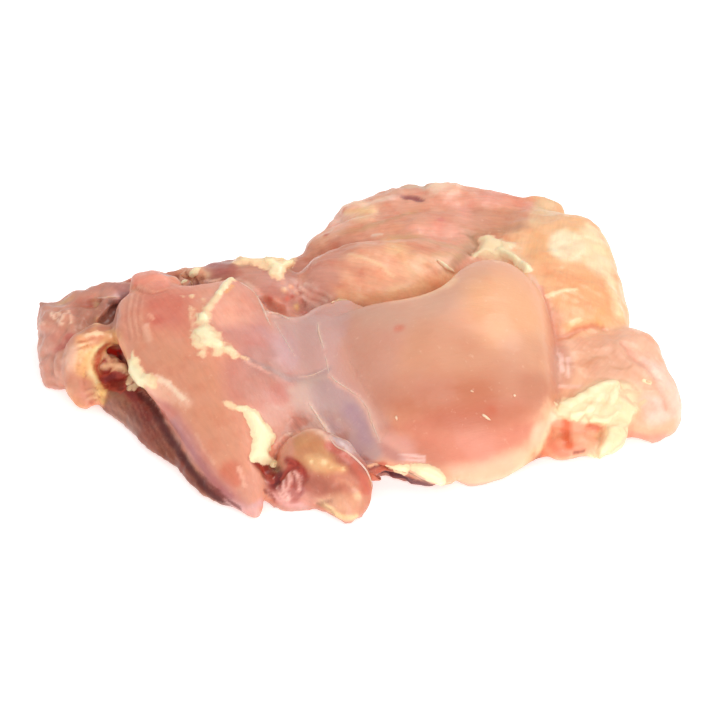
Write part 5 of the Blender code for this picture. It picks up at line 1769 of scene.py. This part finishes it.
def meat_material():
    """Muscle and film: the painted tint, streaked along its fibres, under torn layers, wet."""
    material = bpy.data.materials.new("raw_meat")
    material.use_nodes = True
    surface = principled(material, roughness=0.4, subsurface=0.25, scale=0.0016, coat=0.2)
    place = node(material, "ShaderNodeTexCoord").outputs["Object"]
    fibre = attribute(material, "fibre", "Vector")
    grain = attribute(material, "grain", "Fac")
    streaks = noise_node(material, fibre, scale=1.3, detail=4.0)
    fine_streaks = noise_node(material, fibre, scale=3.4, detail=2.0)
    patches = noise_node(material, place, scale=70.0, detail=3.0)
    blotches = noise_node(material, place, scale=210.0, detail=5.0)
    specks = noise_node(material, place, scale=900.0, detail=3.0)
    tint = attribute(material, "tint", "Color")
    shade = mapped(material, streaks, (0.3, 0.7), (0.80, 1.10))
    streaky = mixed(material, "MULTIPLY", grain, tint, shade)
    tan = product(material, mapped(material, patches, (0.42, 0.66), (0.0, 1.8)), grain)
    tanned = mixed(material, "MULTIPLY", tan, streaky, tuple(linear(TANNED)))
    red = product(material, mapped(material, blotches, (0.48, 0.75), (0.0, 2.0)), grain)
    reddened = mixed(material, "MULTIPLY", red, tanned, tuple(linear(REDDENED)))
    speckled = mapped(material, specks, (0.64, 0.8), (0.0, 0.2))
    colour = mixed(material, "MIX", speckled, reddened, tuple(linear(SPECKS)))
    covers = {}
    for name in LAYERS:
        colour, covers[name] = layered(material, colour, name, place)
    join(material, colour, surface.inputs["Base Color"])
    wet = attribute(material, "wet", "Fac")
    dull = sum_of(material, mapped(material, blotches, (0.3, 0.7), (0.52, 0.66)), wet, gain=-0.3)
    dull = sum_of(material, dull, covers["fat"], gain=-0.08)
    join(material, dull, surface.inputs["Roughness"])
    height = mapped(material, specks, (0.2, 0.8), (0.0, 0.35))
    for part, gain in ((fine_streaks, 0.7), (streaks, 0.5), (covers["fat"], 1.0),
                       (covers["thin_fat"], 0.7)):
        height = sum_of(material, height, part, gain)
    bumped(material, surface, height, distance=0.00012)
    return material


def fat_material():
    """Fat and film: creamy, soft and smooth, with a little painted shade in its hollows, with a wet
    sheen.
    """
    material = bpy.data.materials.new("raw_fat")
    material.use_nodes = True
    surface = principled(material, roughness=0.38, subsurface=0.4, scale=0.0014, coat=0.25)
    place = node(material, "ShaderNodeTexCoord").outputs["Object"]
    lumps = noise_node(material, place, scale=300.0, detail=4.0)
    tint = attribute(material, "tint", "Color")
    # painted shade, laid by the same noise as the lumps
    shade = mapped(material, lumps, (0.4, 0.7), (0.0, 0.7))
    hollow_shaded = mixed(material, "MULTIPLY", shade, tint, tuple(linear(FAT_HOLLOW_SHADE)))
    join(material, hollow_shaded, surface.inputs["Base Color"])
    join(material, mapped(material, lumps, (0.3, 0.7), (0.3, 0.5)), surface.inputs["Roughness"])
    bumped(material, surface, lumps, distance=0.00015)
    return material


# The stage

WORLD_LIGHT = 0.62
FLOOR_COLOUR = (0.90, 0.90, 0.90, 1.0)
FLOOR_ROUGHNESS = 0.6
FLOOR_GLOW = 0.46
FLOOR_HALF = 2.0
WHITE = (1.0, 1.0, 1.0, 1.0)


def set_camera():
    """The photograph's view: from the front, looking down, with a long lens."""
    camera = bpy.data.objects.new("camera", bpy.data.cameras.new("camera"))
    bpy.context.scene.collection.objects.link(camera)
    camera.location = (EYE - DRAWN_MIDDLE) * SCALE
    camera.rotation_euler = (pi / 2 - CAMERA_HEIGHT_ANGLE, 0, 0)
    camera.data.sensor_width = SENSOR_WIDTH
    camera.data.lens = SENSOR_WIDTH * FOCAL_PIXELS / FRAME_WIDTH
    camera.data.shift_x = (FRAME_WIDTH / 2 - ORIGIN_COLUMN) / FRAME_WIDTH
    camera.data.shift_y = (ORIGIN_ROW - FRAME_WIDTH / 2) / FRAME_WIDTH
    camera.data.clip_start = 0.01
    bpy.context.scene.camera = camera


def area_light(name, place, size, power, colour):
    light = bpy.data.lights.new(name, "AREA")
    light.shape = "DISK"
    light.size = size
    light.energy = power
    light.color = colour
    lamp = bpy.data.objects.new(name, light)
    lamp.location = place
    lamp.rotation_euler = Vector(place).to_track_quat("Z", "Y").to_euler()
    bpy.context.scene.collection.objects.link(lamp)


def set_stage():
    """A bright white surface and soft light from all round, with a soft key from the back right."""
    scene = bpy.context.scene
    world = bpy.data.worlds.new("surroundings")
    scene.world = world
    world.use_nodes = True
    background = world.node_tree.nodes["Background"]
    background.inputs["Color"].default_value = WHITE
    background.inputs["Strength"].default_value = WORLD_LIGHT
    area_light("key", place=(0.30, 0.28, 0.50), size=0.35, power=1.4, colour=(1.0, 0.97, 0.93))
    area_light("front_fill", place=(0.15, -0.60, 0.30), size=0.60, power=2.6,
               colour=(1.0, 0.98, 0.97))
    white = bpy.data.materials.new("white_surface")
    white.use_nodes = True
    surface = white.node_tree.nodes["Principled BSDF"]
    surface.inputs["Base Color"].default_value = FLOOR_COLOUR
    surface.inputs["Roughness"].default_value = FLOOR_ROUGHNESS
    surface.inputs["Emission Color"].default_value = WHITE
    surface.inputs["Emission Strength"].default_value = FLOOR_GLOW
    corners = [(FLOOR_HALF * x, FLOOR_HALF * y, 0) for x, y in ((-1, -1), (1, -1), (1, 1), (-1, 1))]
    floor = new_object("surface", corners, [(0, 1, 2, 3)], white)
    scene.view_settings.view_transform = "Standard"


def raise_relief(skin):
    """The meat's broad unevenness, its folds, and the grain of its fibres."""
    crumpled = skin.points + skin.ragged[:, None] * CRUMPLE
    skin.lift += skin.rough * clouds(skin.points, ROUGH_SIZE, seed=1, octaves=3)
    creases = np.abs(clouds(crumpled, FOLD_SIZE, seed=4, octaves=2))
    skin.lift += skin.folds * (CREST_HEIGHT - CREST_SHARPNESS * creases)
    skin.lift += skin.grain * GRAIN_DEPTH * clouds(skin.fibre, GRAIN_SIZE, seed=2, octaves=3)


def main():
    body = grow_body()
    set_tissues(body)
    body.smooth(SMOOTH_PASSES, body.soften)
    surface = body.surface()
    body.prepare(surface)
    paint_body(body, surface)
    raise_relief(body)
    body.apply_lift()
    body.smooth(LAST_PASSES, 1.0)
    body.points[:, 2] = np.maximum(body.points[:, 2], 0.0)
    surface = body.surface()
    meat = body.finish("meat", meat_material())
    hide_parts("thigh")
    fat = fat_material()
    small_flecks(surface, fat)
    film_threads(surface, fat)
    set_camera()
    set_stage()


main()
